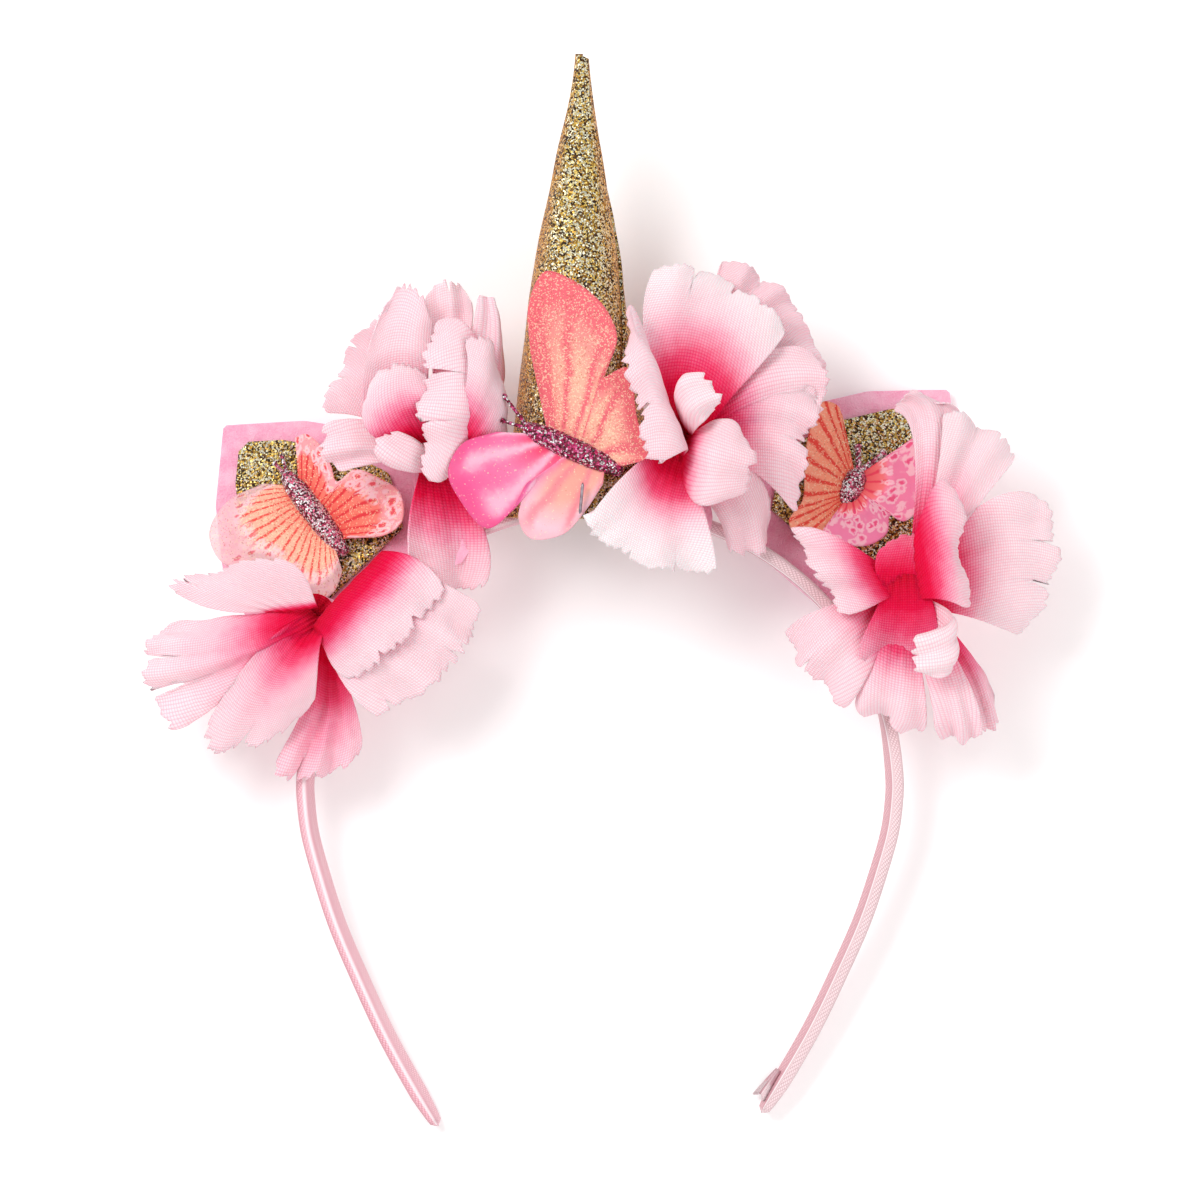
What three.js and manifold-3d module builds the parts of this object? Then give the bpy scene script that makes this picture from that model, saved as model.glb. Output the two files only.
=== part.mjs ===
// A fancy-dress headband that lies on its back: a ribbon-wrapped band with a rolled glitter horn,
// two felt ears, four cloth flowers and three butterflies, all on the front of the arch.
// Millimetres. The headband is drawn in its own plane, x to the right, y toward the horn's tip and
// z out of its front, and the last lines tilt that plane so that the whole lies on a level surface.
import * as THREE from 'three';
import { mergeVertices } from 'three/addons/utils/BufferGeometryUtils.js';
import Module from 'manifold-3d';

const wasm = await Module();
wasm.setup();

// Driving dimensions
const clearance = 0.3;
const band_span = 140;
const band_rise = 65;
const leg_drop = 80.4;
const right_leg_shorter = 3;
const band_width = 7;
const band_thickness = 3.2;
const band_taper = 9;
const leg_roll = 14;
const ribbon_end_length = 4.5;
const ribbon_end_thickness = 1;
const horn_height = 107;
const horn_radius = 18.3;
const horn_wall = 1.5;
const horn_lap = 0.7;
const horn_saddle = 4;
const horn_offset = -4.6;
const left_ear_length = 54;
const right_ear_length = 56;
const ear_width = 54;
const felt_thickness = 2;
const ear_margin = 4.4;
const glitter_thickness = 1;
const petal_reach = 46.4;
const petal_thickness = 1.2;
const pad_thickness = 2.5;
const hub_radius = 5;
const back_hub_height = 3;
const front_hub_height = 2.6;
const butterfly_size = 46.4;
const wing_thickness = 1;
const wing_camber = 0.01;
const butterfly_body = 3.4;
const feeler_thickness = 1;
const pin_thickness = 0.9;

// Band: half of its outline below the widest line, out and down as shares of span and drop
const leg_stations = [
  { down: 0.06, out: 0.998 },
  { down: 0.15, out: 0.985 },
  { down: 0.28, out: 0.944 },
  { down: 0.42, out: 0.89 },
  { down: 0.57, out: 0.815 },
  { down: 0.74, out: 0.722 },
  { down: 0.89, out: 0.625 },
  { down: 1.0, out: 0.548 },
];

// Horn: how far out its side is and how far its axis sways, going up, as shares of its sizes
const horn_stations = [
  { up: 0.0, out: 1.0, sway: 0.0 },
  { up: 0.13, out: 0.88, sway: 0.0 },
  { up: 0.26, out: 0.763, sway: -0.004 },
  { up: 0.47, out: 0.585, sway: -0.008 },
  { up: 0.57, out: 0.512, sway: -0.006 },
  { up: 0.68, out: 0.386, sway: -0.003 },
  { up: 0.81, out: 0.251, sway: 0.0 },
  { up: 0.92, out: 0.115, sway: 0.004 },
  { up: 1.0, out: 0.068, sway: 0.006 },
];

// Ears: where each one stands on the arch, its heading and how far it reaches
const ears = [
  { side: 'left', station: 137, heading: 134, reach: left_ear_length },
  { side: 'right', station: 49, heading: 49.5, reach: right_ear_length },
];

// Half of an ear's outline: going along its length, out as a share of half its width
const ear_stations = [
  { along: 0.0, out: 0.42 },
  { along: 0.14, out: 0.76 },
  { along: 0.35, out: 1.0 },
  { along: 0.57, out: 0.85 },
  { along: 0.78, out: 0.53 },
  { along: 1.0, out: 0.02 },
];

// Flowers: where each one is glued on the arch, in degrees, its throat from there as shares of the
// petal reach, and its petals. A petal is a sheet from its root through three middle points to
// three rim points, each [across, up, front] in hundredths of the petal reach, counted from the
// throat, and front from the face of its pad.
const flowers = [
  {
    name: 'flower_low_left',
    station: 147,
    throat: [-0.189, 0.081],
    back: [
      { root: [-2, 1, 5], mid: [[-37, 6, 16], [-32, 15, 22], [-8, 15, 22]],
        rim: [[-76, 12, 8], [-50, 24, 16], [-12, 30, 22]] },
      { root: [1, -2, 4], mid: [[-35, -4, 14], [-40, -18, 24], [-30, -27, 18]],
        rim: [[-75, -4, 2], [-87, -25, 6], [-70, -61, 4]] },
      { root: [2, -3, 4], mid: [[-27, -20, 22], [-18, -33, 20], [0, -24, 24]],
        rim: [[-58, -60, 10], [-38, -69, 8], [2, -46, 16]] },
      { root: [3, -4, 3], mid: [[0, -37, 6], [8, -42, 4], [16, -36, 6]],
        rim: [[-24, -78, 2], [-2, -84, 0], [26, -68, 0]] },
      { root: [3, -2, 4], mid: [[12, -26, 18], [35, -12, 20], [32, 15, 14]],
        rim: [[30, -52, 12], [70, -28, 14], [84, 4, 14]] },
      { root: [2, 1, 3], mid: [[10, 17, 4], [15, 18, 2], [20, 12, 6]],
        rim: [[23, 31, 2], [33, 34, 2], [42, 26, 2]] },
    ],
    front: [],
  },
  {
    name: 'flower_top_left',
    station: 121,
    throat: [-0.091, 0.454],
    back: [
      { root: [-2, 4, 3], mid: [[-30, 20, 2], [-25, 42, 0], [-12, 52, 1]],
        rim: [[-55, 18, 0], [-40, 55, -4], [-10, 83, -1]] },
      { root: [-2, 1, 4], mid: [[-25, -3, 8], [-29, 5, 12], [-31, 15, 8]],
        rim: [[-48, -11, 8], [-54, 2, 8], [-55, 15, 6]] },
      { root: [3, 4, 3], mid: [[2, 45, 2], [11, 47, 0], [19, 52, 2]],
        rim: [[-4, 81, -2], [9, 88, -2], [21, 79, 0]] },
      { root: [5, 2, 4], mid: [[16, 45, 8], [25, 45, 12], [36, 35, 6]],
        rim: [[22, 76, 6], [28, 80, 10], [31, 77, 6]] },
      { root: [3, -5, 4], mid: [[-9, -37, 12], [9, -42, 2], [27, -41, 0]],
        rim: [[-9, -60, 10], [9, -67, 0], [28, -68, -2]] },
    ],
    front: [
      { root: [-5, 5, 10], mid: [[-30, 32, 14], [-16, 35, 10], [-2, 40, 12]],
        rim: [[-16, 81, 10], [-9, 85, 8], [0, 62, 8]] },
      { root: [4, 2, 11], mid: [[15, 21, 32], [11, 9, 36], [5, -1, 26]],
        rim: [[-4, 21, 30], [-6, 9, 32], [0, -2, 24]] },
      { root: [4, 4, 11], mid: [[10, 46, 20], [11, 35, 28], [12, 23, 30]],
        rim: [[1, 44, 20], [-4, 32, 24], [-5, 23, 26]] },
      { root: [5, 3, 10], mid: [[16, 27, 24], [24, 25, 22], [30, 15, 16]],
        rim: [[16, 48, 20], [28, 40, 16], [37, 27, 10]] },
      { root: [-1, -2, 10], mid: [[-12, -6, 20], [-12, -1, 24], [-8, 3, 20]],
        rim: [[-27, 7, 22], [-24, 9, 24], [-20, 10, 22]] },
    ],
  },
  {
    name: 'flower_top_right',
    station: 72,
    throat: [-0.056, 0.4],
    back: [
      { root: [4, 6, 3], mid: [[16, 60, 0], [35, 55, -2], [47, 35, 0]],
        rim: [[20, 92, -4], [55, 71, -8], [76, 26, -6]] },
      { root: [6, 1, 4], mid: [[42, 27, 8], [42, 7, 12], [39, -15, 8]],
        rim: [[71, 24, 6], [66, -2, 8], [58, -42, 2]] },
      { root: [4, -5, 4], mid: [[35, -15, 8], [27, -30, 10], [16, -32, 6]],
        rim: [[49, -40, -2], [36, -60, -2], [21, -48, 0]] },
    ],
    front: [
      { root: [2, 8, 10], mid: [[-15, 52, 18], [11, 57, 12], [34, 36, 14]],
        rim: [[-14, 87, 14], [21, 82, 8], [56, 55, 10]] },
      { root: [-3, 1, 10], mid: [[-20, 58, 32], [-10, 27, 40], [1, -3, 38]],
        rim: [[-29, 61, 28], [-25, 20, 36], [-14, -16, 34]] },
      { root: [3, 5, 11], mid: [[-2, 28, 34], [1, 19, 40], [9, 8, 40]],
        rim: [[9, 36, 38], [18, 26, 44], [22, 14, 40]] },
      { root: [2, -5, 10], mid: [[11, 6, 34], [6, -11, 40], [5, -31, 34]],
        rim: [[29, 10, 36], [38, -15, 32], [28, -28, 30]] },
      { root: [-3, -7, 10], mid: [[-27, -20, 32], [-14, -40, 29], [10, -40, 24]],
        rim: [[-50, -42, 36], [-20, -63, 28], [20, -68, 16]] },
    ],
  },
  {
    name: 'flower_low_right',
    station: 33,
    throat: [0.289, 0.206],
    back: [
      { root: [4, 7, 3], mid: [[5, 75, -4], [10, 80, -6], [18, 76, -4]],
        rim: [[-8, 91, -8], [-2, 97, -10], [10, 95, -8]] },
      { root: [5, 5, 4], mid: [[17, 57, 4], [30, 60, 2], [33, 41, 6]],
        rim: [[18, 91, -2], [40, 82, -4], [59, 68, -4]] },
      { root: [7, 1, 4], mid: [[40, 41, 4], [47, 15, 2], [40, -13, 4]],
        rim: [[68, 48, -6], [77, 12, -10], [58, -25, -6]] },
      { root: [6, -5, 4], mid: [[33, -32, 6], [30, -37, 10], [26, -39, 6]],
        rim: [[48, -57, 0], [42, -71, 0], [33, -62, 0]] },
      { root: [-6, -3, 4], mid: [[-41, -10, 16], [-33, -23, 20], [-21, -41, 18]],
        rim: [[-61, -21, 8], [-50, -42, 8], [-28, -58, 8]] },
      { root: [-3, -7, 4], mid: [[-20, -42, 16], [-6, -49, 18], [8, -50, 16]],
        rim: [[-26, -58, 8], [-10, -67, 6], [10, -73, 4]] },
    ],
    front: [
      { root: [-6, 4, 10], mid: [[-30, 23, 20], [-27, 9, 26], [-18, -6, 22]],
        rim: [[-52, 27, 16], [-46, 9, 20], [-33, -13, 20]] },
      { root: [3, 4, 10], mid: [[14, 64, 22], [20, 25, 32], [22, -5, 30]],
        rim: [[20, 60, 20], [26, 20, 28], [28, -11, 26]] },
      { root: [6, -6, 11], mid: [[23, -15, 30], [25, -26, 32], [23, -37, 30]],
        rim: [[-1, -23, 30], [1, -34, 34], [4, -44, 30]] },
      { root: [5, -7, 10], mid: [[12, -48, 18], [22, -50, 21], [30, -47, 18]],
        rim: [[16, -72, 10], [27, -77, 8], [36, -74, 8]] },
    ],
  },
];

// Butterflies: the middle of each body along and out from the root of the ear or horn that carries
// it, as shares of that one's length, and in hundredths of the butterfly size from there the head,
// the tail, the feelers, and for each side the two ends of the wing's root and its rim, each
// [across, up, front], front from the body's middle.
const butterflies = [
  {
    name: 'butterfly_middle',
    rests_on: 'horn',
    seat: { along: 0.148, out: -0.02 },
    head: [-24, 11, -1],
    tail: [24, -11, -2],
    feelers: [[-35, 14, -1], [-34, 27, -1]],
    wings: [
      { side: 'upper', root: [[-11, 5, 1], [15, -7, 1]],
        rim: [[-20, 48, -2], [-21, 71, -6], [-13, 88, -10], [2, 83, -9], [17, 70, -6], [23, 54, -2],
          [15, 35, 0], [28, 40, 0], [33, 15, 1], [38, -4, 2], [26, -9, 1]] },
      { side: 'lower', root: [[-15, 7, 1], [17, -8, 1]],
        rim: [[-37, 8, 2], [-54, 2, 3], [-61, -12, 4], [-55, -26, 4], [-42, -40, 3], [-31, -33, 3],
          [-22, -18, 2], [-26, -35, 3], [-20, -45, 4], [-4, -43, 4], [6, -33, 4], [16, -18, 2]] },
    ],
  },
  {
    name: 'butterfly_left',
    rests_on: 'left',
    seat: { along: 0.453, out: 0.017 },
    head: [-16, 22, 0],
    tail: [16, -20, 0],
    feelers: [[-21, 27, 0], [-17, 31, 0]],
    wings: [
      { side: 'lower', root: [[-11, 15, 2], [8, -9, 2]],
        rim: [[-26, 16, 4], [-44, 7, 8], [-53, -9, 10], [-46, -24, 10], [-26, -30, 8],
          [-15, -43, 8], [-2, -46, 8], [10, -38, 8], [14, -28, 4]] },
      { side: 'upper', root: [[-8, 12, 2], [11, -13, 2]],
        rim: [[-10, 39, 4], [-5, 41, 4], [2, 36, 4], [8, 25, 4], [11, 17, 4], [20, 23, 5],
          [32, 19, 6], [43, 11, 8], [44, -3, 8], [35, -10, 7], [18, -10, 4]] },
    ],
  },
  {
    name: 'butterfly_right',
    rests_on: 'right',
    seat: { along: 0.427, out: -0.04 },
    head: [4, 10, 0],
    tail: [-4, -8, 0],
    feelers: [[3, 23, 0], [17, 19, 0]],
    wings: [
      { side: 'left', root: [[2, 6, 1], [-3, -6, 1]],
        rim: [[-4, 32, 4], [-7, 42, 4], [-15, 44, 4], [-22, 27, 5], [-24, 9, 6], [-25, -5, 7],
          [-32, -16, 8], [-27, -24, 8], [-14, -23, 6], [-8, -15, 3]] },
      { side: 'right', root: [[3, 8, 1], [-2, -4, 1]],
        rim: [[13, 7, 4], [26, 20, 10], [37, 29, 18], [39, 14, 18], [40, 0, 18], [26, -16, 14],
          [19, -13, 10], [17, -22, 14], [7, -28, 16], [-6, -27, 16], [-15, -22, 12],
          [-8, -14, 4]] },
    ],
  },
];

// A butterfly's body from tail to head: out as shares of its half thickness, along its length
const body_stations = [
  { along: 0.0, out: 0.0 },
  { along: 0.02, out: 0.5 },
  { along: 0.2, out: 0.85 },
  { along: 0.5, out: 1.0 },
  { along: 0.8, out: 0.9 },
  { along: 0.97, out: 0.55 },
  { along: 1.0, out: 0.0 },
];

// The pin beside the middle butterfly's tail, in hundredths of the butterfly size from its middle
const pin_points = [[6, -17, 7], [4.5, -33, 7]];

// Shares that shape the pieces
const section_round = 0.6;
const tip_share = 0.45;
const ribbon_end_back = 0.7;
const ribbon_end_flare = 0.3;
const horn_lap_turns = 0.45;
const glitter_inset = 1.25;
const gather = 0.16;
const gather_depth = 0.3;
const room_share = 0.9;
const hundredth = 0.01;
const radians = THREE.MathUtils.degToRad;

function material(colour, roughness, metalness) {
  return new THREE.MeshStandardMaterial({ color: colour, roughness, metalness });
}

function wholeTriangles(index) {
  const kept = [];
  for (let i = 0; i < index.length; i += 3) {
    const [a, b, c] = index.slice(i, i + 3);
    if (a !== b && b !== c && c !== a) kept.push(a, b, c);
  }
  return Uint32Array.from(kept);
}

// A closed mesh as a solid, turned inside out where its faces point inward
function solidOf(geometry) {
  const bare = geometry.index ? geometry.clone() : geometry;
  bare.deleteAttribute('normal');
  bare.deleteAttribute('uv');
  const merged = mergeVertices(bare, 1e-5);
  const points = new Float32Array(merged.attributes.position.array);
  const corners = wholeTriangles(merged.index.array);
  let volume = 0;
  const [a, b, c] = [new THREE.Vector3(), new THREE.Vector3(), new THREE.Vector3()];
  for (let i = 0; i < corners.length; i += 3) {
    a.fromArray(points, corners[i] * 3);
    b.fromArray(points, corners[i + 1] * 3);
    c.fromArray(points, corners[i + 2] * 3);
    volume += a.dot(b.cross(c));
  }
  if (volume < 0) {
    for (let i = 0; i < corners.length; i += 3) {
      [corners[i], corners[i + 1]] = [corners[i + 1], corners[i]];
    }
  }
  return new wasm.Manifold(new wasm.Mesh({ numProp: 3, vertProperties: points, triVerts: corners }));
}

// A solid worked out once, without the record of what it was cut from
function settled(solid) {
  const { numProp, vertProperties, triVerts } = solid.getMesh();
  return new wasm.Manifold(new wasm.Mesh({ numProp, vertProperties, triVerts }));
}

function largestBody(solid) {
  return settled(solid.decompose().sort((p, q) => q.volume() - p.volume())[0]);
}

function geometryOf(solid) {
  const mesh = solid.getMesh();
  const geometry = new THREE.BufferGeometry();
  geometry.setAttribute('position', new THREE.BufferAttribute(mesh.vertProperties, 3));
  geometry.setIndex(new THREE.BufferAttribute(mesh.triVerts, 1));
  return geometry;
}

// A value read off a table of stations, straight between its rows
function reading(rows, key, value, at) {
  let i = 1;
  while (i < rows.length - 1 && rows[i][key] < at) i += 1;
  const [low, high] = [rows[i - 1], rows[i]];
  const share = (at - low[key]) / (high[key] - low[key]);
  return low[value] + (high[value] - low[value]) * share;
}

// A sheet of even thickness: place(s, t) gives the middle of the sheet for s and t from 0 to 1
function sheet(place, columns, rows, thickness, overhang = 0) {
  const geometry = new THREE.BoxGeometry(1, 1, 1, columns, rows, 1);
  const position = geometry.attributes.position;
  const step = 0.01;
  for (let i = 0; i < position.count; i += 1) {
    const s = 0.5 + position.getX(i) * (1 + overhang);
    const t = 0.5 + position.getY(i) * (1 + overhang);
    const across = place(s + step, t).sub(place(s - step, t));
    const along = place(s, t + step).sub(place(s, t - step));
    const normal = across.cross(along).normalize();
    const point = place(s, t).addScaledVector(normal, position.getZ(i) * thickness);
    position.setXYZ(i, point.x, point.y, point.z);
  }
  return solidOf(geometry);
}

// A rod with a round section between two points
function rod(from, to, radius, end_radius = radius, sides = 8) {
  const length = from.distanceTo(to);
  const geometry = new THREE.CylinderGeometry(end_radius, radius, length, sides);
  const up = new THREE.Vector3(0, 1, 0);
  const turn = new THREE.Quaternion().setFromUnitVectors(up, to.clone().sub(from).normalize());
  geometry.applyQuaternion(turn);
  const middle = from.clone().add(to).multiplyScalar(0.5);
  geometry.translate(middle.x, middle.y, middle.z);
  return solidOf(geometry);
}

// Band
const arch_across = band_span / 2 - band_thickness / 2;
const arch_up = band_rise - band_thickness / 2;

function archPoint(degrees) {
  const angle = radians(degrees);
  return new THREE.Vector3(arch_across * Math.cos(angle), arch_up * Math.sin(angle), 0);
}

function bandCurve() {
  const leg = (side, drop) => leg_stations.map((row) => {
    return new THREE.Vector3(side * row.out * arch_across, -row.down * drop, 0);
  });
  const points = leg(-1, leg_drop).reverse();
  for (let degrees = 180; degrees >= 0; degrees -= 15) points.push(archPoint(degrees));
  points.push(...leg(1, leg_drop - right_leg_shorter));
  return new THREE.CatmullRomCurve3(points, false, 'centripetal');
}

function bandSolid(grown) {
  const curve = bandCurve();
  const length = curve.getLength();
  const half_thick = band_thickness / 2 + grown;
  const half_wide = band_width / 2 + grown;
  const round = half_thick * section_round;
  const section = new THREE.Shape();
  section.moveTo(-half_thick + round, -half_wide);
  section.absarc(half_thick - round, -half_wide + round, round, -Math.PI / 2, 0);
  section.absarc(half_thick - round, half_wide - round, round, 0, Math.PI / 2);
  section.absarc(-half_thick + round, half_wide - round, round, Math.PI / 2, Math.PI);
  section.absarc(-half_thick + round, -half_wide + round, round, Math.PI, Math.PI * 1.5);
  section.closePath();
  const steps = 44;
  const geometry = new THREE.ExtrudeGeometry(section, {
    depth: 1, steps, bevelEnabled: false, curveSegments: 1,
  });
  const position = geometry.attributes.position;
  for (let i = 0; i < position.count; i += 1) {
    const share = position.getZ(i);
    const centre = curve.getPointAt(share);
    const tangent = curve.getTangentAt(share);
    const outward = new THREE.Vector3(-tangent.y, tangent.x, 0);
    const from_end = Math.min(share, 1 - share) * length;
    const taper = THREE.MathUtils.lerp(tip_share, 1, Math.sqrt(Math.min(1, from_end / band_taper)));
    const roll = radians(leg_roll) * THREE.MathUtils.smoothstep(-centre.y, 0, leg_drop / 2);
    const thick = position.getX(i) * taper;
    const wide = position.getY(i) * taper;
    const out = thick * Math.cos(roll) + wide * Math.sin(roll);
    const front = wide * Math.cos(roll) - thick * Math.sin(roll);
    const point = centre.clone().addScaledVector(outward, out);
    position.setXYZ(i, point.x, point.y, front);
  }
  return solidOf(geometry);
}

// The loose end of the ribbon, a short tab on the inner face beside the right tip
function ribbonEnd(grown) {
  const curve = bandCurve();
  const share = 1 - (band_taper * ribbon_end_back) / curve.getLength();
  const centre = curve.getPointAt(share);
  const tangent = curve.getTangentAt(share);
  const inward = new THREE.Vector3(tangent.y, -tangent.x, 0);
  const stand_off = (band_thickness + ribbon_end_thickness) / 2 + clearance;
  const place = (s, t) => centre.clone()
    .addScaledVector(inward, stand_off + ribbon_end_length * ribbon_end_flare * t * t)
    .addScaledVector(tangent, ribbon_end_length * (t - ribbon_end_flare))
    .add(new THREE.Vector3(0, 0, (band_width / 2) * (0.5 - s)));
  return sheet(place, 2, 3, ribbon_end_thickness + 2 * grown);
}

// Horn
const horn_base = band_rise - horn_saddle;

function hornRadius(height) {
  return reading(horn_stations, 'up', 'out', height / horn_height) * horn_radius;
}

function hornSolid(grown, hollow) {
  const tip = horn_height + grown;
  const outside = horn_stations.map((row) => {
    return new THREE.Vector2(row.out * horn_radius + grown, row.up * horn_height);
  });
  const profile = [...outside, new THREE.Vector2(outside.at(-1).x, tip), new THREE.Vector2(0, tip)];
  if (grown === 0) profile.splice(outside.length, 1);
  if (hollow) {
    const inside = [0, 2, 4, 6].map((i) => outside[i].clone().sub(new THREE.Vector2(horn_wall, 0)));
    const apex = inside.at(-1).y + inside.at(-1).x * 2;
    profile.unshift(new THREE.Vector2(0, apex), ...inside.reverse());
  } else {
    profile.unshift(new THREE.Vector2(0, 0));
  }
  const segments = 28;
  const geometry = new THREE.LatheGeometry(profile, segments);
  const position = geometry.attributes.position;
  const whole_turn = 2 * Math.PI;
  const last_segment = whole_turn * (1 - 1 / segments);
  for (let i = 0; i < position.count; i += 1) {
    const [x, y, z] = [position.getX(i), position.getY(i), position.getZ(i)];
    const radius = Math.hypot(x, z);
    const angle = Math.atan2(x, z);
    const around = Math.min(((angle + whole_turn + 1e-4) % whole_turn) / last_segment, 1);
    const outer = radius > hornRadius(y) - horn_wall / 2 && y < outside.at(-1).y;
    const lap = outer ? horn_lap * (1 - around) : 0;
    const turned = angle + horn_lap_turns * whole_turn * (y / horn_height);
    const sway = reading(horn_stations, 'up', 'sway', y / horn_height) * horn_height;
    position.setXYZ(i, horn_offset + sway + (radius + lap) * Math.sin(turned), horn_base + y,
      (radius + lap) * Math.cos(turned));
  }
  return solidOf(geometry);
}

function hornFrame() {
  return {
    base: new THREE.Vector3(horn_offset, horn_base, 0),
    along: new THREE.Vector3(0, 1, 0),
    across: new THREE.Vector3(1, 0, 0),
  };
}

// How the headband lies: on the ends of its legs, where their taper starts, and on the back of the
// horn's base
const leg_contact = leg_drop - band_taper;
const lie_slope = (horn_radius + horn_lap / 2 - band_width / 2) / (horn_base + leg_contact);

function surfaceBehind(y) {
  return -band_width / 2 - lie_slope * (y + leg_contact);
}

// Ears
function earFrame(ear) {
  const base = archPoint(ear.station);
  const heading = radians(ear.heading);
  const along = new THREE.Vector3(Math.cos(heading), Math.sin(heading), 0);
  base.z = -(band_width / 2 + clearance + felt_thickness / 2);
  const tip_y = base.y + along.y * ear.reach;
  const tip_z = surfaceBehind(tip_y) + felt_thickness / 2;
  const across = new THREE.Vector3(Math.sin(heading), -Math.cos(heading), 0);
  along.z = (tip_z - base.z) / ear.reach;
  const normal = across.clone().cross(along).normalize();
  return { base, along, across, normal };
}

function earPlace(ear, from, to, inset, lifted) {
  const { base, along, across, normal } = earFrame(ear);
  return (s, t) => {
    const share = from + (to - from) * t;
    const half = reading(ear_stations, 'along', 'out', share) * ear_width / 2;
    const out = Math.max(half - inset, 0.5) * (2 * s - 1);
    return base.clone()
      .addScaledVector(along, share * ear.reach)
      .addScaledVector(across, out)
      .addScaledVector(normal, lifted);
  };
}

function earFelt(ear, grown) {
  const overlap = band_thickness / 2 / ear.reach;
  const overhang = grown ? 0.02 : 0;
  return sheet(earPlace(ear, -overlap, 1, 0, 0), 4, 7, felt_thickness + 2 * grown, overhang);
}

function earGlitter(ear, grown) {
  const inset = ear_margin * glitter_inset;
  const stop = 1 - inset / ear.reach;
  const lifted = felt_thickness / 2 + clearance + glitter_thickness / 2;
  const start = (ear_margin + band_thickness) / ear.reach;
  const place = earPlace(ear, start, stop, inset, lifted);
  return sheet(place, 4, 6, glitter_thickness + 2 * grown);
}

// The front face of an ear's glitter above a point of the headband's plane
function earFront(ear, x, y) {
  const { base, normal } = earFrame(ear);
  const rise = felt_thickness / 2 + clearance + glitter_thickness;
  return base.z + (rise - normal.x * (x - base.x) - normal.y * (y - base.y)) / normal.z;
}

// Petals
function through(a, b, c, x) {
  return a * (1 - x) * (1 - 2 * x) + b * 4 * x * (1 - x) + c * x * (2 * x - 1);
}

// The face of a flower's pad below its throat
function throatOf(flower) {
  const [across, up] = flower.throat.map((share) => share * petal_reach);
  const pad_face = band_width / 2 + clearance + pad_thickness;
  return archPoint(flower.station).add(new THREE.Vector3(across, up, pad_face));
}

function petalPlace(flower, petal) {
  const throat = throatOf(flower);
  const gathered = [gather, gather, gather * gather_depth];
  const root = petal.mid.map((point) => point.map((value, axis) => {
    return petal.root[axis] + gathered[axis] * (value - petal.mid[1][axis]);
  }));
  const lines = [root, petal.mid, petal.rim];
  return (s, t) => {
    const value = (axis) => {
      const [low, middle, high] = lines.map((line) => {
        return through(line[0][axis], line[1][axis], line[2][axis], s);
      });
      return through(low, middle, high, t) * hundredth * petal_reach;
    };
    return new THREE.Vector3(value(0), value(1), value(2)).add(throat);
  };
}

function petalSolids(flower, petals, thickness, overhang) {
  return petals.map((petal) => {
    return sheet(petalPlace(flower, petal), 5, 4, thickness, overhang);
  });
}

// The felt pad that a flower stands on: from the band out to below the throat, with round ends
function padSolid(flower, grown) {
  const seat = archPoint(flower.station);
  const { x, y } = throatOf(flower);
  const radius = hub_radius + grown;
  const away = Math.atan2(y - seat.y, x - seat.x);
  const outline = new THREE.Shape();
  outline.absarc(x, y, radius, away - Math.PI / 2, away + Math.PI / 2);
  outline.absarc(seat.x, seat.y, radius, away + Math.PI / 2, away + Math.PI * 1.5);
  outline.closePath();
  const geometry = new THREE.ExtrudeGeometry(outline, {
    depth: pad_thickness + 2 * grown, bevelEnabled: false, curveSegments: 3,
  });
  geometry.translate(0, 0, band_width / 2 + clearance - grown);
  return solidOf(geometry);
}

// The gathered middle of a layer: the back one stands on the pad, the front one on the back one
function hubSolid(flower, layer, grown) {
  const { x, y, z } = throatOf(flower);
  const back_top = z + clearance + back_hub_height;
  const low = (layer === 'back' ? z : back_top) + clearance - grown;
  const high = (layer === 'back' ? back_top : back_top + clearance + front_hub_height) + grown;
  const radius = hub_radius + grown;
  return rod(new THREE.Vector3(x, y, low), new THREE.Vector3(x, y, high), radius, radius, 12);
}

function layerSolid(flower, layer, grown) {
  const core = hubSolid(flower, layer, grown);
  const overhang = grown ? 0.04 : 0;
  const petals = petalSolids(flower, flower[layer], petal_thickness + 2 * grown, overhang);
  return petals.reduce((sum, petal) => sum.add(petal), core);
}

// Butterflies
function butterflyFrame(butterfly) {
  const ear = ears.find((row) => row.side === butterfly.rests_on);
  const { base, along, across } = ear ? earFrame(ear) : hornFrame();
  const length = ear ? ear.reach : horn_height;
  const middle = base.clone()
    .addScaledVector(along, butterfly.seat.along * length)
    .addScaledVector(across, butterfly.seat.out * length);
  const carried = ear
    ? (x, y) => earFront(ear, x, y)
    : () => hornRadius(middle.y - horn_base) + horn_lap;
  return (point) => {
    const [right, up, lift] = point.map((value) => value * hundredth * butterfly_size);
    const [x, y] = [middle.x + right, middle.y + up];
    return new THREE.Vector3(x, y, carried(x, y) + clearance + butterfly_body / 2 + lift);
  };
}

function bodySolid(butterfly, grown) {
  const at = butterflyFrame(butterfly);
  const [head, tail] = [at(butterfly.head), at(butterfly.tail)];
  const middle = at([0, 0, 0]);
  const radius = butterfly_body / 2 + grown;
  const length = head.distanceTo(tail) + 2 * grown;
  const profile = body_stations
    .map(({ along, out }) => new THREE.Vector2(out * radius, (along - 0.5) * length));
  const geometry = new THREE.LatheGeometry(profile, 8);
  const up = new THREE.Vector3(0, 1, 0);
  const heading = head.clone().sub(tail).normalize();
  geometry.applyQuaternion(new THREE.Quaternion().setFromUnitVectors(up, heading));
  const centre = head.clone().add(tail).multiplyScalar(0.5);
  geometry.translate(centre.x, centre.y, centre.z);
  const feeler_radius = feeler_thickness / 2 + grown;
  const start = head.clone().lerp(middle, 0.15);
  return butterfly.feelers.reduce((body, end) => {
    return body.add(rod(start, at(end), feeler_radius, feeler_radius, 5));
  }, solidOf(geometry));
}

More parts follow.
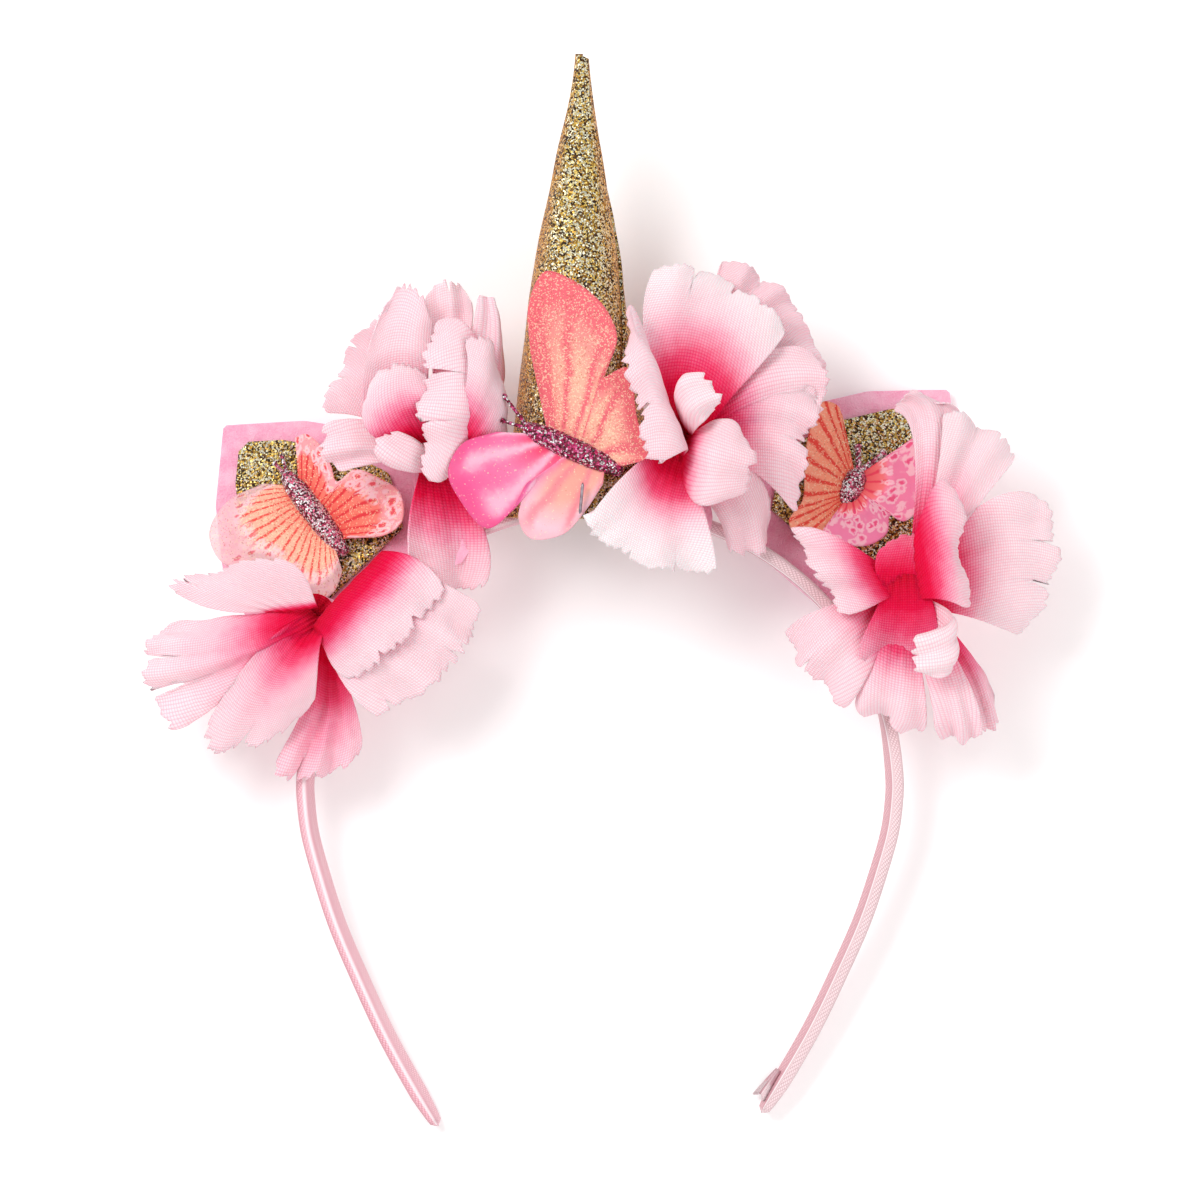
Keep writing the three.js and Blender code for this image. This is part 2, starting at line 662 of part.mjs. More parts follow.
function wingPlace(butterfly, wing) {
  const at = butterflyFrame(butterfly);
  const [front, rear] = wing.root.map(at);
  const rim = new THREE.CatmullRomCurve3(wing.rim.map(at), false, 'centripetal');
  const camber = wing_camber * butterfly_size;
  return (s, t) => {
    const held = THREE.MathUtils.clamp(s, 0, 1);
    const point = front.clone().lerp(rear, held).lerp(rim.getPoint(held), t);
    point.z += camber * 4 * t * (1 - t);
    return point;
  };
}

function wingSolid(butterfly, wing, grown) {
  const columns = Math.round((wing.rim.length - 1) * 1.5);
  const thickness = wing_thickness + 2 * grown;
  return sheet(wingPlace(butterfly, wing), columns, 2, thickness, grown ? 0.02 : 0);
}

function pinSolid(grown) {
  const [from, to] = pin_points.map(butterflyFrame(butterflies[0]));
  return rod(from, to, pin_thickness / 2 + grown);
}

// Assembly: every piece in the order in which it keeps its shape, each later piece cut clear of
// the room that the earlier ones take up
const pieces = [];
let taken = null;

function add(name, make, look) {
  const whole = make(0);
  const solid = largestBody(taken ? whole.subtract(taken) : whole);
  const room = make(clearance * room_share).add(solid);
  taken = settled(taken ? taken.add(room) : room);
  pieces.push({ name, solid, look });
}

const satin = material(0xf2a7b8, 0.45, 0);
const felt = material(0xf59ab5, 0.95, 0);
const glitter = material(0xb8933f, 0.4, 0.6);
const petal_cloth = material(0xf9c3d1, 0.85, 0);
const wing_cloth = material(0xf58a7c, 0.6, 0);
const body_glitter = material(0xc2386f, 0.4, 0.4);
const steel = material(0xb5aab0, 0.35, 0.9);

add('band', bandSolid, satin);
add('ribbon_end', ribbonEnd, satin);
add('horn', (grown) => hornSolid(grown, grown === 0), glitter);
for (const ear of ears) {
  add(`ear_${ear.side}_felt`, (grown) => earFelt(ear, grown), felt);
  add(`ear_${ear.side}_glitter`, (grown) => earGlitter(ear, grown), glitter);
}
for (const butterfly of butterflies) {
  add(`${butterfly.name}_body`, (grown) => bodySolid(butterfly, grown), body_glitter);
}
for (const butterfly of butterflies) {
  for (const wing of butterfly.wings) {
    add(`${butterfly.name}_wing_${wing.side}`, (grown) => wingSolid(butterfly, wing, grown),
      wing_cloth);
  }
}
add('butterfly_middle_pin', pinSolid, steel);
for (const flower of flowers) {
  add(`${flower.name}_pad`, (grown) => padSolid(flower, grown), felt);
}
for (const layer of ['front', 'back']) {
  for (const flower of flowers.filter((row) => row[layer].length > 0)) {
    add(`${flower.name}_${layer}`, (grown) => layerSolid(flower, layer, grown), petal_cloth);
  }
}

// The headband tilts back until it lies level, and its origin is below the middle of its box
const headband = new THREE.Group();
for (const { name, solid, look } of pieces) {
  const mesh = new THREE.Mesh(geometryOf(solid), look.clone());
  mesh.name = name;
  headband.add(mesh);
}
headband.rotation.x = Math.atan(lie_slope);
const group = new THREE.Group();
group.add(headband);
group.updateMatrixWorld(true);
const box = new THREE.Box3().setFromObject(group, true);
const middle = box.getCenter(new THREE.Vector3());
headband.position.set(-middle.x, -middle.y, -box.min.z);
group.updateMatrixWorld(true);

export default group;
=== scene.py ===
"""A fancy-dress headband, lying on its back: a ribbon-wrapped band with a rolled glitter horn, two
felt ears, four cloth flowers and three butterflies. Metres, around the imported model's frame."""

import math
import random

import bpy
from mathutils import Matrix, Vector, noise


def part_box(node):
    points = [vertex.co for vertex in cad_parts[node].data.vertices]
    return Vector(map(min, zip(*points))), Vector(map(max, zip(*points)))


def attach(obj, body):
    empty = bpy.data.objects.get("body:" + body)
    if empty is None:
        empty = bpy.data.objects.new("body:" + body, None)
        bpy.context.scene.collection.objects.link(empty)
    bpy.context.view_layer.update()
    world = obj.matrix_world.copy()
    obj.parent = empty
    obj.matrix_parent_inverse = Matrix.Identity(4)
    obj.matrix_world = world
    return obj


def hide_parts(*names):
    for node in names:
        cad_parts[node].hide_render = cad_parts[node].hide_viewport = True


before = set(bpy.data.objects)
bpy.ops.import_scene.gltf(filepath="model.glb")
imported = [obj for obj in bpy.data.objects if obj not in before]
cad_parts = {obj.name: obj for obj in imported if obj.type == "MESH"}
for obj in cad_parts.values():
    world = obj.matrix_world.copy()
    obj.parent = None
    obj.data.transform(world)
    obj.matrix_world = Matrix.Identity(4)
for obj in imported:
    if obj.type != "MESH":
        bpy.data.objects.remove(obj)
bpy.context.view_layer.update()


# How the headband lies
# It was drawn flat, x to the right, y toward the horn's tip and z out of its front, and then
# tilted until it lies level. Two felt pads of one height show the tilt and where it lies.
mm = 0.001
arch_across = 68.4 * mm
arch_up = 63.4 * mm
band_width = 7 * mm
gap = 0.3 * mm
petal_reach = 46.4 * mm
pad_thickness = 2.5 * mm
low_pad_station = 147
low_pad_throat = (-0.189, 0.081)


def arch_point(degrees):
    angle = math.radians(degrees)
    return Vector((arch_across * math.cos(angle), arch_up * math.sin(angle), 0))


def middle_of(node):
    low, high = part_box(node)
    return (Vector(low) + Vector(high)) / 2


low_pad = middle_of("flower_low_left_pad")
high_pad = middle_of("flower_top_left_pad")
tilt = math.atan2(high_pad.z - low_pad.z, high_pad.y - low_pad.y)
pad_front = band_width / 2 + gap + pad_thickness


def tilted(point):
    turned_y = point.y * math.cos(tilt) - point.z * math.sin(tilt)
    turned_z = point.y * math.sin(tilt) + point.z * math.cos(tilt)
    return Vector((point.x, turned_y, turned_z))


low_pad_drawn = arch_point(low_pad_station)
low_pad_drawn += Vector((*low_pad_throat, 0)) * petal_reach / 2
low_pad_drawn.z = pad_front - pad_thickness / 2
drawn_origin = low_pad - tilted(low_pad_drawn)


def placed(point):
    """A point of the drawing, where it is on the headband as it lies."""
    return drawn_origin + tilted(point)


# Room
# A pale plain floor, a camera square to the headband's own plane, as a flat photograph has it,
# and soft studio light from all round with one large lamp up to the left.
frame_width = 274.2 * mm
frame_middle = Vector((-2.2, 44.0, 0)) * mm
camera_distance = 2.6
floor_size = 6.0

bpy.ops.object.select_all(action="DESELECT")
bpy.ops.mesh.primitive_plane_add(size=floor_size)
floor = bpy.context.object
floor.name = "floor"

camera = bpy.data.cameras.new("camera")
camera.lens = camera.sensor_width * camera_distance / frame_width
camera.clip_start = 0.01
camera_object = bpy.data.objects.new("camera", camera)
camera_object.location = placed(frame_middle + Vector((0, 0, camera_distance)))
camera_object.rotation_euler = (tilt, 0, 0)
bpy.context.collection.objects.link(camera_object)
bpy.context.scene.camera = camera_object
bpy.context.scene.view_settings.view_transform = "Standard"

lamps = [
    {"name": "lamp_left", "place": (-0.5, 0.35, 0.8), "size": 0.5, "power": 5.8},
    {"name": "lamp_right", "place": (0.6, -0.1, 0.6), "size": 0.5, "power": 1.5},
    {"name": "lamp_low", "place": (-0.1, -0.7, 0.45), "size": 0.5, "power": 1.1},
]
for row in lamps:
    lamp = bpy.data.lights.new(row["name"], "AREA")
    lamp.size = row["size"]
    lamp.energy = row["power"]
    lamp_object = bpy.data.objects.new(row["name"], lamp)
    lamp_object.location = row["place"]
    lamp_object.rotation_euler = (-Vector(row["place"])).to_track_quat("-Z", "Y").to_euler()
    bpy.context.collection.objects.link(lamp_object)

world = bpy.data.worlds.new("studio")
world.use_nodes = True
sky = world.node_tree.nodes["Background"]
sky.inputs["Color"].default_value = (1, 0.985, 0.98, 1)
sky.inputs["Strength"].default_value = 0.62
bpy.context.scene.world = world


def colour(red, green, blue):
    """A colour read in steps of 0 to 255, as the shader counts it."""
    shares = [value / 255 for value in (red, green, blue)]
    return (*[share**2.2 for share in shares], 1)


class Wire:
    """One socket of a material's nodes, with sums written as sums."""

    def __init__(self, finish, socket):
        self.finish = finish
        self.socket = socket

    def sum(self, operation, *values):
        inputs = dict(enumerate(values))
        return self.finish.node("Math", {"operation": operation}, inputs)

    def __add__(self, other):
        return self.sum("ADD", self, other)

    def __radd__(self, other):
        return self.sum("ADD", other, self)

    def __sub__(self, other):
        return self.sum("SUBTRACT", self, other)

    def __rsub__(self, other):
        return self.sum("SUBTRACT", other, self)

    def __mul__(self, other):
        return self.sum("MULTIPLY", self, other)

    def __rmul__(self, other):
        return self.sum("MULTIPLY", other, self)

    def sine(self):
        return self.sum("SINE", self)

    def size(self):
        return self.sum("ABSOLUTE", self)

    def eased(self, low, high):
        """0 below low, 1 above high, and a soft rise between them."""
        span = {"Value": self, "From Min": low, "From Max": high}
        return self.finish.node("MapRange", {"interpolation_type": "SMOOTHSTEP"}, span)


class Finish:
    """A material, built node by node round one Principled shader."""

    def __init__(self, name, **constants):
        self.material = bpy.data.materials.new(name)
        self.material.use_nodes = True
        self.tree = self.material.node_tree
        self.shader = self.tree.nodes["Principled BSDF"]
        for key, value in constants.items():
            self.shader.inputs[key.replace("_", " ")].default_value = value

    def join(self, value, socket):
        if isinstance(value, Wire):
            self.tree.links.new(value.socket, socket)
        else:
            socket.default_value = value

    def node(self, kind, settings=None, inputs=None, output=0):
        node = self.tree.nodes.new("ShaderNode" + kind)
        for key, value in (settings or {}).items():
            if key == "stops":
                while len(node.color_ramp.elements) < len(value):
                    node.color_ramp.elements.new(1)
                for stop, (place, tint) in zip(node.color_ramp.elements, value):
                    stop.position = place
                    stop.color = tint
            else:
                setattr(node, key, value)
        for key, value in (inputs or {}).items():
            self.join(value, node.inputs[key])
        return Wire(self, node.outputs[output])

    def mix(self, share, first, second, way="MIX"):
        settings = {"data_type": "RGBA", "blend_type": way}
        return self.node("Mix", settings, {0: share, 6: first, 7: second}, 2)

    def ramp(self, share, *stops):
        return self.node("ValToRGB", {"stops": stops}, {0: share})

    def vector(self, operation, first, second):
        return self.node("VectorMath", {"operation": operation}, {0: first, 1: second})

    def axis_of(self, value, axis):
        """One of the three numbers of a place or a colour."""
        return self.node("SeparateXYZ", None, {0: value}, axis)

    def place(self):
        return self.node("TexCoord", output="Object")

    def noise(self, scale, detail=2.0, at=None):
        inputs = {"Vector": at or self.place(), "Scale": scale, "Detail": detail}
        return self.node("TexNoise", None, inputs, "Fac")

    def uv(self, name):
        """The two coordinates of a piece's own map."""
        point = self.node("UVMap", {"uv_map": name})
        return [self.axis_of(point, axis) for axis in (0, 1)]

    def carried(self, name):
        """A number that each point of the mesh carries."""
        return self.node("Attribute", {"attribute_name": name}, output="Fac")

    def set(self, **sockets):
        for key, value in sockets.items():
            self.join(value, self.shader.inputs[key.replace("_", " ")])

    def bump(self, height, depth):
        inputs = {"Height": height, "Distance": depth}
        self.set(Normal=self.node("Bump", None, inputs))


floor_finish = Finish("floor_paper", Roughness=0.9, Emission_Strength=0.1)
floor_finish.set(Base_Color=colour(252, 251, 251), Emission_Color=colour(255, 253, 253))
floor.data.materials.append(floor_finish.material)


def only(piece):
    bpy.ops.object.select_all(action="DESELECT")
    piece.select_set(True)
    bpy.context.view_layer.objects.active = piece


def applied(piece, kind, **settings):
    """Puts one modifier on a piece and applies it."""
    only(piece)
    modifier = piece.modifiers.new(kind, kind)
    for key, value in settings.items():
        setattr(modifier, key, value)
    bpy.ops.object.modifier_apply(modifier=modifier.name)


def bent_grid(name, columns, rows, shape):
    """A flat grid, bent so that each point goes where shape(across, along) says."""
    bpy.ops.object.select_all(action="DESELECT")
    bpy.ops.mesh.primitive_grid_add(x_subdivisions=columns, y_subdivisions=rows, size=1)
    piece = bpy.context.object
    piece.name = name
    for vertex in piece.data.vertices:
        vertex.co = shape(vertex.co.x + 0.5, vertex.co.y + 0.5)
    piece.data.update()
    return piece


def closed_up(piece):
    """Merges a seam or a pole and turns the faces outward."""
    only(piece)
    bpy.ops.object.mode_set(mode="EDIT")
    bpy.ops.mesh.select_all(action="SELECT")
    bpy.ops.mesh.remove_doubles(threshold=0.02 * mm)
    bpy.ops.mesh.normals_make_consistent(inside=False)
    bpy.ops.object.mode_set(mode="OBJECT")


def joined(name, parts):
    only(parts[0])
    for part in parts[1:]:
        part.select_set(True)
    if len(parts) > 1:
        bpy.ops.object.join()
    whole = bpy.context.object
    whole.name = name
    return whole


def kept(piece, finish, slot, *nodes):
    """Gives a finished piece its material and its place on the headband."""
    only(piece)
    bpy.ops.object.shade_smooth()
    if not piece.data.materials:
        piece.data.materials.append(finish.material)
    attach(piece, "root")
    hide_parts(*nodes)


# Band
# A plastic arch with two legs, wrapped in pink satin ribbon that is glued along its length. The
# legs roll a little, so that the front shows one flank of each, and the tips are tapered.
band_thickness = 3.2 * mm
leg_drop = 80.4 * mm
right_leg_shorter = 3 * mm
band_taper = 9 * mm
band_corner = 0.42
band_end_round = 1.2 * mm
leg_roll = 14
roll_start = 28 * mm
tip_share = 0.45
satin_pitch = 0.7 * mm
# Down each leg and out from the middle, as shares of the drop and of half the span
leg_stations = [
    (0.06, 0.998), (0.15, 0.985), (0.28, 0.944), (0.42, 0.89), (0.57, 0.815), (0.74, 0.722),
    (0.89, 0.625), (1.0, 0.548),
]


def on_smooth_line(points, share):
    """A point of a smooth line through the points, share counting its stretches from 0 to 1."""
    last = len(points) - 1
    place = min(max(share, 0.0), 1.0) * last
    start = min(int(place), last - 1)
    before = points[start - 1] if start > 0 else 2 * points[0] - points[1]
    after = points[start + 2] if start + 2 <= last else 2 * points[last] - points[last - 1]
    row = [before, points[start], points[start + 1], after]
    knots = [0.0]
    for first, second in zip(row, row[1:]):
        knots.append(knots[-1] + math.sqrt(max((second - first).length, 1e-9)))
    at = knots[1] + (place - start) * (knots[2] - knots[1])
    for lows, highs in (((0, 1, 2), (1, 2, 3)), ((0, 1), (2, 3)), ((1,), (2,))):
        shares = [(at - knots[i]) / (knots[j] - knots[i]) for i, j in zip(lows, highs)]
        row = [a + (b - a) * part for a, b, part in zip(row, row[1:], shares)]
    return row[0]


def band_leg(side, drop):
    out = side * arch_across
    return [Vector((share * out, -down * drop, 0)) for down, share in leg_stations]


band_points = band_leg(-1, leg_drop)[::-1]
band_points += [arch_point(degrees) for degrees in range(180, -1, -15)]
band_points += band_leg(1, leg_drop - right_leg_shorter)
band_steps = 900
band_line = [on_smooth_line(band_points, step / band_steps) for step in range(band_steps + 1)]
band_run = [0.0]
for first, second in zip(band_line, band_line[1:]):
    band_run.append(band_run[-1] + (second - first).length)


def band_at(run):
    """Where the band's middle line is after a run of it, and which way it goes there."""
    low, high = 0, band_steps
    while high - low > 1:
        step = (low + high) // 2
        if band_run[step] <= run:
            low = step
        else:
            high = step
    share = (run - band_run[low]) / (band_run[high] - band_run[low])
    first, second = band_line[low], band_line[high]
    return first.lerp(second, share), (second - first).normalized()


def band_section(around):
    """The ribbon-wrapped section: flat sides with round corners, out and front from its middle."""
    angle = 2 * math.pi * around
    across = math.copysign(abs(math.cos(angle)) ** band_corner, math.cos(angle))
    front = math.copysign(abs(math.sin(angle)) ** band_corner, math.sin(angle))
    return across * band_thickness / 2, front * band_width / 2


def band_shape(around, along):
    length = band_run[-1]
    run = min(max(along, 0.0), 1.0) * length
    centre, way = band_at(run)
    from_end = min(run, length - run)
    taper = tip_share + (1 - tip_share) * math.sqrt(min(1.0, from_end / band_taper))
    round_end = math.sqrt(max(0.0, 1 - (1 - min(1.0, from_end / band_end_round)) ** 2))
    thick, wide = [value * taper * round_end for value in band_section(around)]
    drop = min(max(1 - centre.y / roll_start, 0.0), 1.0)
    roll = math.radians(leg_roll) * drop * drop * (3 - 2 * drop)
    outward = Vector((-way.y, way.x, 0))
    out = thick * math.cos(roll) + wide * math.sin(roll)
    front = wide * math.cos(roll) - thick * math.sin(roll)
    return placed(centre + outward * out + Vector((0, 0, front)))


def satin():
    """Fine slanted threads under a silky sheen. The left leg has a painted highlight line down its
    middle and a painted shade strip outside it, the right one has both along its inner flank, and
    the right leg's weave is painted paler than the left's, as if lit more brightly."""
    finish = Finish("pink_satin", Roughness=0.4, Sheen_Weight=0.2, Sheen_Roughness=0.4)
    around, along = finish.uv("UVMap")
    run = along * (band_run[-1] / satin_pitch)
    threads = ((run + around * 34) * math.pi).sine().size()
    crossing = ((run * 0.5 - around * 30) * math.pi).sine().size()
    weave = threads * crossing.eased(0.1, 0.7)
    streaks = finish.noise(9.0, 2.0, finish.node("UVMap", {"uv_map": "UVMap"}))
    outward = (around * (2 * math.pi) + math.pi / 2).sine()
    right = along.eased(0.4, 0.6)
    inward = 0 - outward
    # Painted shade: a darker strip along the left leg's outer flank and the right leg's inner
    # flank.
    deep = (1 - right) * outward.eased(-0.02, 0.4) * 0.75 + right * inward.eased(0.66, 0.76)
    # Painted highlight: a bright line down the left leg's front and along the right leg's inner
    # corner.
    line = (1 - right) * inward.eased(0.002, 0.12) * (1 - inward.eased(0.15, 0.62)) * 0.8
    line = line + right * (1 - (outward + 0.64).size().eased(0.03, 0.16))
    pink = finish.mix(weave, colour(214, 140, 156), colour(252, 196, 207))
    pale = finish.mix(weave, colour(204, 172, 176), colour(254, 234, 236))
    painted_shade_weave = finish.mix(weave, colour(182, 112, 126), colour(224, 162, 172))
    # Painted light: the right leg's weave is painted paler than the left's, as if lit more
    # brightly.
    tone = finish.mix(right * 0.85, pink, pale)
    tone = finish.mix(streaks.eased(0.35, 0.7) * 0.25, tone, colour(252, 222, 227))
    # The painted shade strip and then the painted highlight line go over the weave.
    tone = finish.mix(deep * 0.85, tone, painted_shade_weave)
    tone = finish.mix(line * 0.85, tone, colour(255, 246, 248))
    finish.set(Base_Color=tone)
    finish.set(Roughness=0.32 + 0.2 * streaks)
    finish.bump(threads + 0.5 * crossing, 0.05 * mm)
    return finish


pink_satin = satin()
band = bent_grid("ribbon_band", 32, 300, band_shape)
closed_up(band)
kept(band, pink_satin, "ribbon", "band")

ribbon_end_length = 8 * mm
ribbon_end_past = 3.6 * mm
ribbon_end_thickness = 0.5 * mm
ribbon_end_back = 0.7
ribbon_end_lean = 1.9 * mm
ribbon_end_notch = 1.2 * mm
ribbon_end_gap = 0.1 * mm
ribbon_end_wave = 0.1 * mm


def ribbon_end_shape(across, along):
    centre, way = band_at(band_run[-1] - band_taper * ribbon_end_back)
    inward = Vector((way.y, -way.x, 0))
    notch = ribbon_end_notch * (1 - abs(2 * across - 1)) * along
    run = ribbon_end_past - ribbon_end_length * (1 - along) - notch
    from_end = max(band_taper * ribbon_end_back - run, 0.0) / band_taper
    taper = tip_share + (1 - tip_share) * math.sqrt(min(from_end, 1.0))
    stand_off = (band_thickness * taper + ribbon_end_thickness) / 2 + ribbon_end_gap
    lean = band_width / 2 * math.tan(math.radians(leg_roll)) * (across - 0.5)
    lean += ribbon_end_lean * across * along
    wave = ribbon_end_wave * math.sin(7 * across) * along
    front = band_width / 2 * (0.5 - across)
    return placed(centre + inward * (stand_off + lean + wave) + way * run + Vector((0, 0, front)))


ribbon_end = bent_grid("ribbon_loose_end", 12, 10, ribbon_end_shape)
applied(ribbon_end, "SOLIDIFY", thickness=ribbon_end_thickness, offset=0)
kept(ribbon_end, pink_satin, "ribbon", "ribbon_end")


# Horn
# A cone rolled from foam sheet with gold glitter on it. The sheet's free edge climbs round the
# cone as a low slanted step, and the tip is blunt.
horn_height = 107 * mm
horn_radius = 18.3 * mm
horn_wall = 1.5 * mm
horn_lap = 0.7 * mm
horn_saddle = 4 * mm
horn_offset = -4.6 * mm
horn_lap_turns = 0.45
horn_dent = 0.12 * mm
horn_smoothing = 0.03
horn_closes_at = 0.985
horn_tip_slant = 0.6 * mm
band_rise = arch_up + band_thickness / 2
horn_base = band_rise - horn_saddle
# Up the horn, out from its axis, and the sway of that axis, as shares
horn_stations = [
    (0.0, 1.0, 0.0), (0.13, 0.88, 0.0), (0.26, 0.763, -0.004), (0.47, 0.585, -0.008),
    (0.57, 0.512, -0.006), (0.68, 0.386, -0.003), (0.81, 0.251, 0.0), (0.92, 0.115, 0.004),
    (1.0, 0.068, 0.006),
]


def reading(rows, at, column=1):
    """A column of a table of stations at a place, straight between the rows, which start with
    their own places."""
    spot = 1
    while spot < len(rows) - 1 and rows[spot][0] < at:
        spot += 1
    low, high = rows[spot - 1], rows[spot]
    share = (at - low[0]) / (high[0] - low[0])
    return low[column] + (high[column] - low[column]) * share


def horn_radius_at(height):
    return reading(horn_stations, height / horn_height) * horn_radius


def horn_shape(around, along):
    height = min(along * 1.02, 1.0) * horn_height
    ends = horn_smoothing
    smooth = [horn_radius_at(min(max(height + step * ends * horn_height, 0), horn_height))
              for step in (-1, 0, 1)]
    between_ends = ends * horn_height < height < horn_height * (1 - ends)
    radius = sum(smooth) / 3 if between_ends else smooth[1]
    closing = max(0.0, (along - horn_closes_at) / (1 - horn_closes_at))
    radius *= math.sqrt(max(0.0, 1 - closing * closing))
    dents = horn_dent * math.sin(9 * around * 2 * math.pi + 40 * along) * math.sin(23 * along)
    lap = horn_lap * (1 - around)
    angle = 2 * math.pi * (around + horn_lap_turns * along)
    reach = radius + (lap + dents) * (1 - closing)
    sway = reading(horn_stations, height / horn_height, 2) * horn_height
    slant = -horn_tip_slant * math.sin(angle) * (along > 1 - horn_smoothing)
    across = horn_offset + sway + reach * math.sin(angle)
    return placed(Vector((across, horn_base + height + slant, reach * math.cos(angle))))


def glitter(name, flake, tints, metal=0.55, gloss=0.24, flanks=0.0):
    """Flakes of foil, each with its own tint and its own tilt. Where the surface turns from facing
    straight up, a painted shade may darken the flakes toward orange-brown.
    """
    finish = Finish(name, Metallic=metal, Specular_IOR_Level=0.6)
    cells = {"Vector": finish.place(), "Scale": 1 / flake}
    flakes = finish.node("TexVoronoi", None, cells, "Color")
    edge = finish.node("TexVoronoi", {"feature": "DISTANCE_TO_EDGE"}, cells, "Distance")
    chance, other_chance = [finish.axis_of(flakes, axis) for axis in (0, 1)]
    tint = finish.ramp(chance, *tints)
    # Painted shade: flakes on surfaces turned from facing up are multiplied toward orange-brown.
    if flanks:
        facing = finish.axis_of(finish.node("TexCoord", output="Normal"), 2)
        away = (1 - facing.eased(0.3, 0.95)) * flanks
        tint = finish.mix(away, tint, colour(246, 172, 40), "MULTIPLY")
    gaps = edge.eased(0.0, 0.12)
    finish.set(Base_Color=finish.mix(gaps, tints[0][1], tint))
    finish.set(Roughness=gloss + 0.3 * other_chance)
    lean = finish.vector("SUBTRACT", flakes, (0.5, 0.5, 0.5))
    lean = finish.vector("MULTIPLY", lean, (1.1, 1.1, 1.1))
    straight = finish.node("NewGeometry", output="Normal")
    finish.set(Normal=finish.vector("NORMALIZE", finish.vector("ADD", straight, lean), (0, 0, 0)))
    return finish


gold_flake = 0.38 * mm
gold_tints = [
    (0.0, colour(16, 9, 2)),
    (0.2, colour(96, 58, 12)),
    (0.34, colour(196, 144, 44)),
    (0.56, colour(240, 210, 112)),
    (0.76, colour(255, 252, 222)),
]
# The horn's sides get the painted orange-brown shade.
gold_glitter = glitter("gold_glitter", gold_flake, gold_tints, flanks=0.8)
horn = bent_grid("glitter_horn", 72, 150, horn_shape)
closed_up(horn)
applied(horn, "SOLIDIFY", thickness=horn_wall, offset=-1)
kept(horn, gold_glitter, "horn_glitter", "horn")


# Ears
# Two felt shapes glued behind the arch, which lean back onto the surface at their tips. Each one
# has a smaller piece of gold glitter sheet glued on its front.
ears = {
    "left": {"station": 137, "heading": 134, "reach": 54 * mm},
    "right": {"station": 49, "heading": 49.5, "reach": 56 * mm},
}
ear_width = 54 * mm
felt_thickness = 2 * mm
ear_margin = 4.4 * mm
glitter_inset = 1.55
glitter_thickness = 1 * mm
leg_contact = leg_drop - band_taper
# Along an ear and out from its middle line, as shares
ear_stations = [(0.0, 0.42), (0.14, 0.76), (0.35, 1.0), (0.57, 0.85), (0.78, 0.53), (1.0, 0.02)]


def ear_frame(ear):
    base = arch_point(ear["station"])
    base.z = -(band_width / 2 + gap + felt_thickness / 2)
    heading = math.radians(ear["heading"])
    along = Vector((math.cos(heading), math.sin(heading), 0))
    across = Vector((math.sin(heading), -math.cos(heading), 0))
    tip_y = base.y + along.y * ear["reach"]
    tip_z = -band_width / 2 - math.tan(tilt) * (tip_y + leg_contact) + felt_thickness / 2
    along.z = (tip_z - base.z) / ear["reach"]
    return base, along, across, across.cross(along).normalized()


def ear_shape(ear, start, stop, inset, lifted):
    base, along, across, normal = ear_frame(ear)

    def shape(share_across, share_along):
        share = start + (stop - start) * share_along
        half = reading(ear_stations, share) * ear_width / 2
        out = max(half - inset, 0.5 * mm) * (2 * share_across - 1)
        return placed(base + along * (share * ear["reach"]) + across * out + normal * lifted)

    return shape


def felt():
    """Matted fibres: soft blotches and fine fuzz."""
    finish = Finish("pink_felt", Roughness=0.95, Sheen_Weight=0.5, Sheen_Roughness=0.6)
    blotches = finish.noise(260.0, 3.0)
    fuzz = finish.noise(2600.0, 4.0)
    tone = finish.mix(blotches.eased(0.3, 0.7), colour(246, 152, 188), colour(253, 184, 210))
    tone = finish.mix(fuzz.eased(0.35, 0.7) * 0.4, tone, colour(255, 205, 220))
    finish.set(Base_Color=tone)
    finish.bump(fuzz + 0.6 * blotches, 0.35 * mm)
    return finish


def flat_area(piece):
    return sum(polygon.area for polygon in piece.data.polygons)


def square_side(cut):
    """The side of the square that shapes are cut from, where they fill 0.6 of it."""
    return math.sqrt(cut / 0.6)


pink_felt = felt()
ear_glitter = glitter("ear_gold_glitter", gold_flake, gold_tints)
for side, ear in ears.items():
    overlap = band_thickness / 2 / ear["reach"]
    felt_piece = bent_grid(f"ear_{side}", 48, 64, ear_shape(ear, -overlap, 1, 0, 0))
    applied(felt_piece, "SOLIDIFY", thickness=felt_thickness, offset=0)
    applied(felt_piece, "BEVEL", width=0.5 * mm, segments=2, limit_method="ANGLE")
    kept(felt_piece, pink_felt, "ear_felt", f"ear_{side}_felt")
    inset = ear_margin * glitter_inset
    start = (ear_margin + band_thickness) / ear["reach"]
    lifted = felt_thickness / 2 + gap + glitter_thickness / 2
    shape = ear_shape(ear, start, 1 - inset / ear["reach"], inset, lifted)
    sheet_piece = bent_grid(f"ear_{side}_gold", 40, 40, shape)
    applied(sheet_piece, "SOLIDIFY", thickness=glitter_thickness, offset=0)
    kept(sheet_piece, ear_glitter, "ear_glitter", f"ear_{side}_glitter")


# Flowers
# Petals of fine dyed polyester cloth, cut with a serrated edge that frays, pressed into waves and
# gathered round a throat: crimson there, then pink, and nearly white at the rim. A flower is one or
# two layers of them, stitched through the middle and glued to a felt pad on the band.
gather = (0.36, 0.36, 0.12)
hub_radius = 5 * mm
hub_heights = {"back": 3 * mm, "front": 2.6 * mm}
cloth_thickness = 0.32 * mm
thread_pitch = 0.6 * mm
tooth_count = 80
tooth_pitch = 2.6 * mm
tooth_depth = 1.9 * mm
fray_count = 400
fray_pitch = 0.45 * mm
fray_depth = 0.3 * mm
slit_width = 1.1 * mm
deepest_cut = 0.48
rim_corner = 1.3 * mm
fullness = 0.09
lobe_pitch = 13 * mm
lobe_depth = 1.8 * mm
lobe_lift = 0.7 * mm
wave_height = 1.3 * mm
crumple_size = 9 * mm
crumple_height = 0.9 * mm
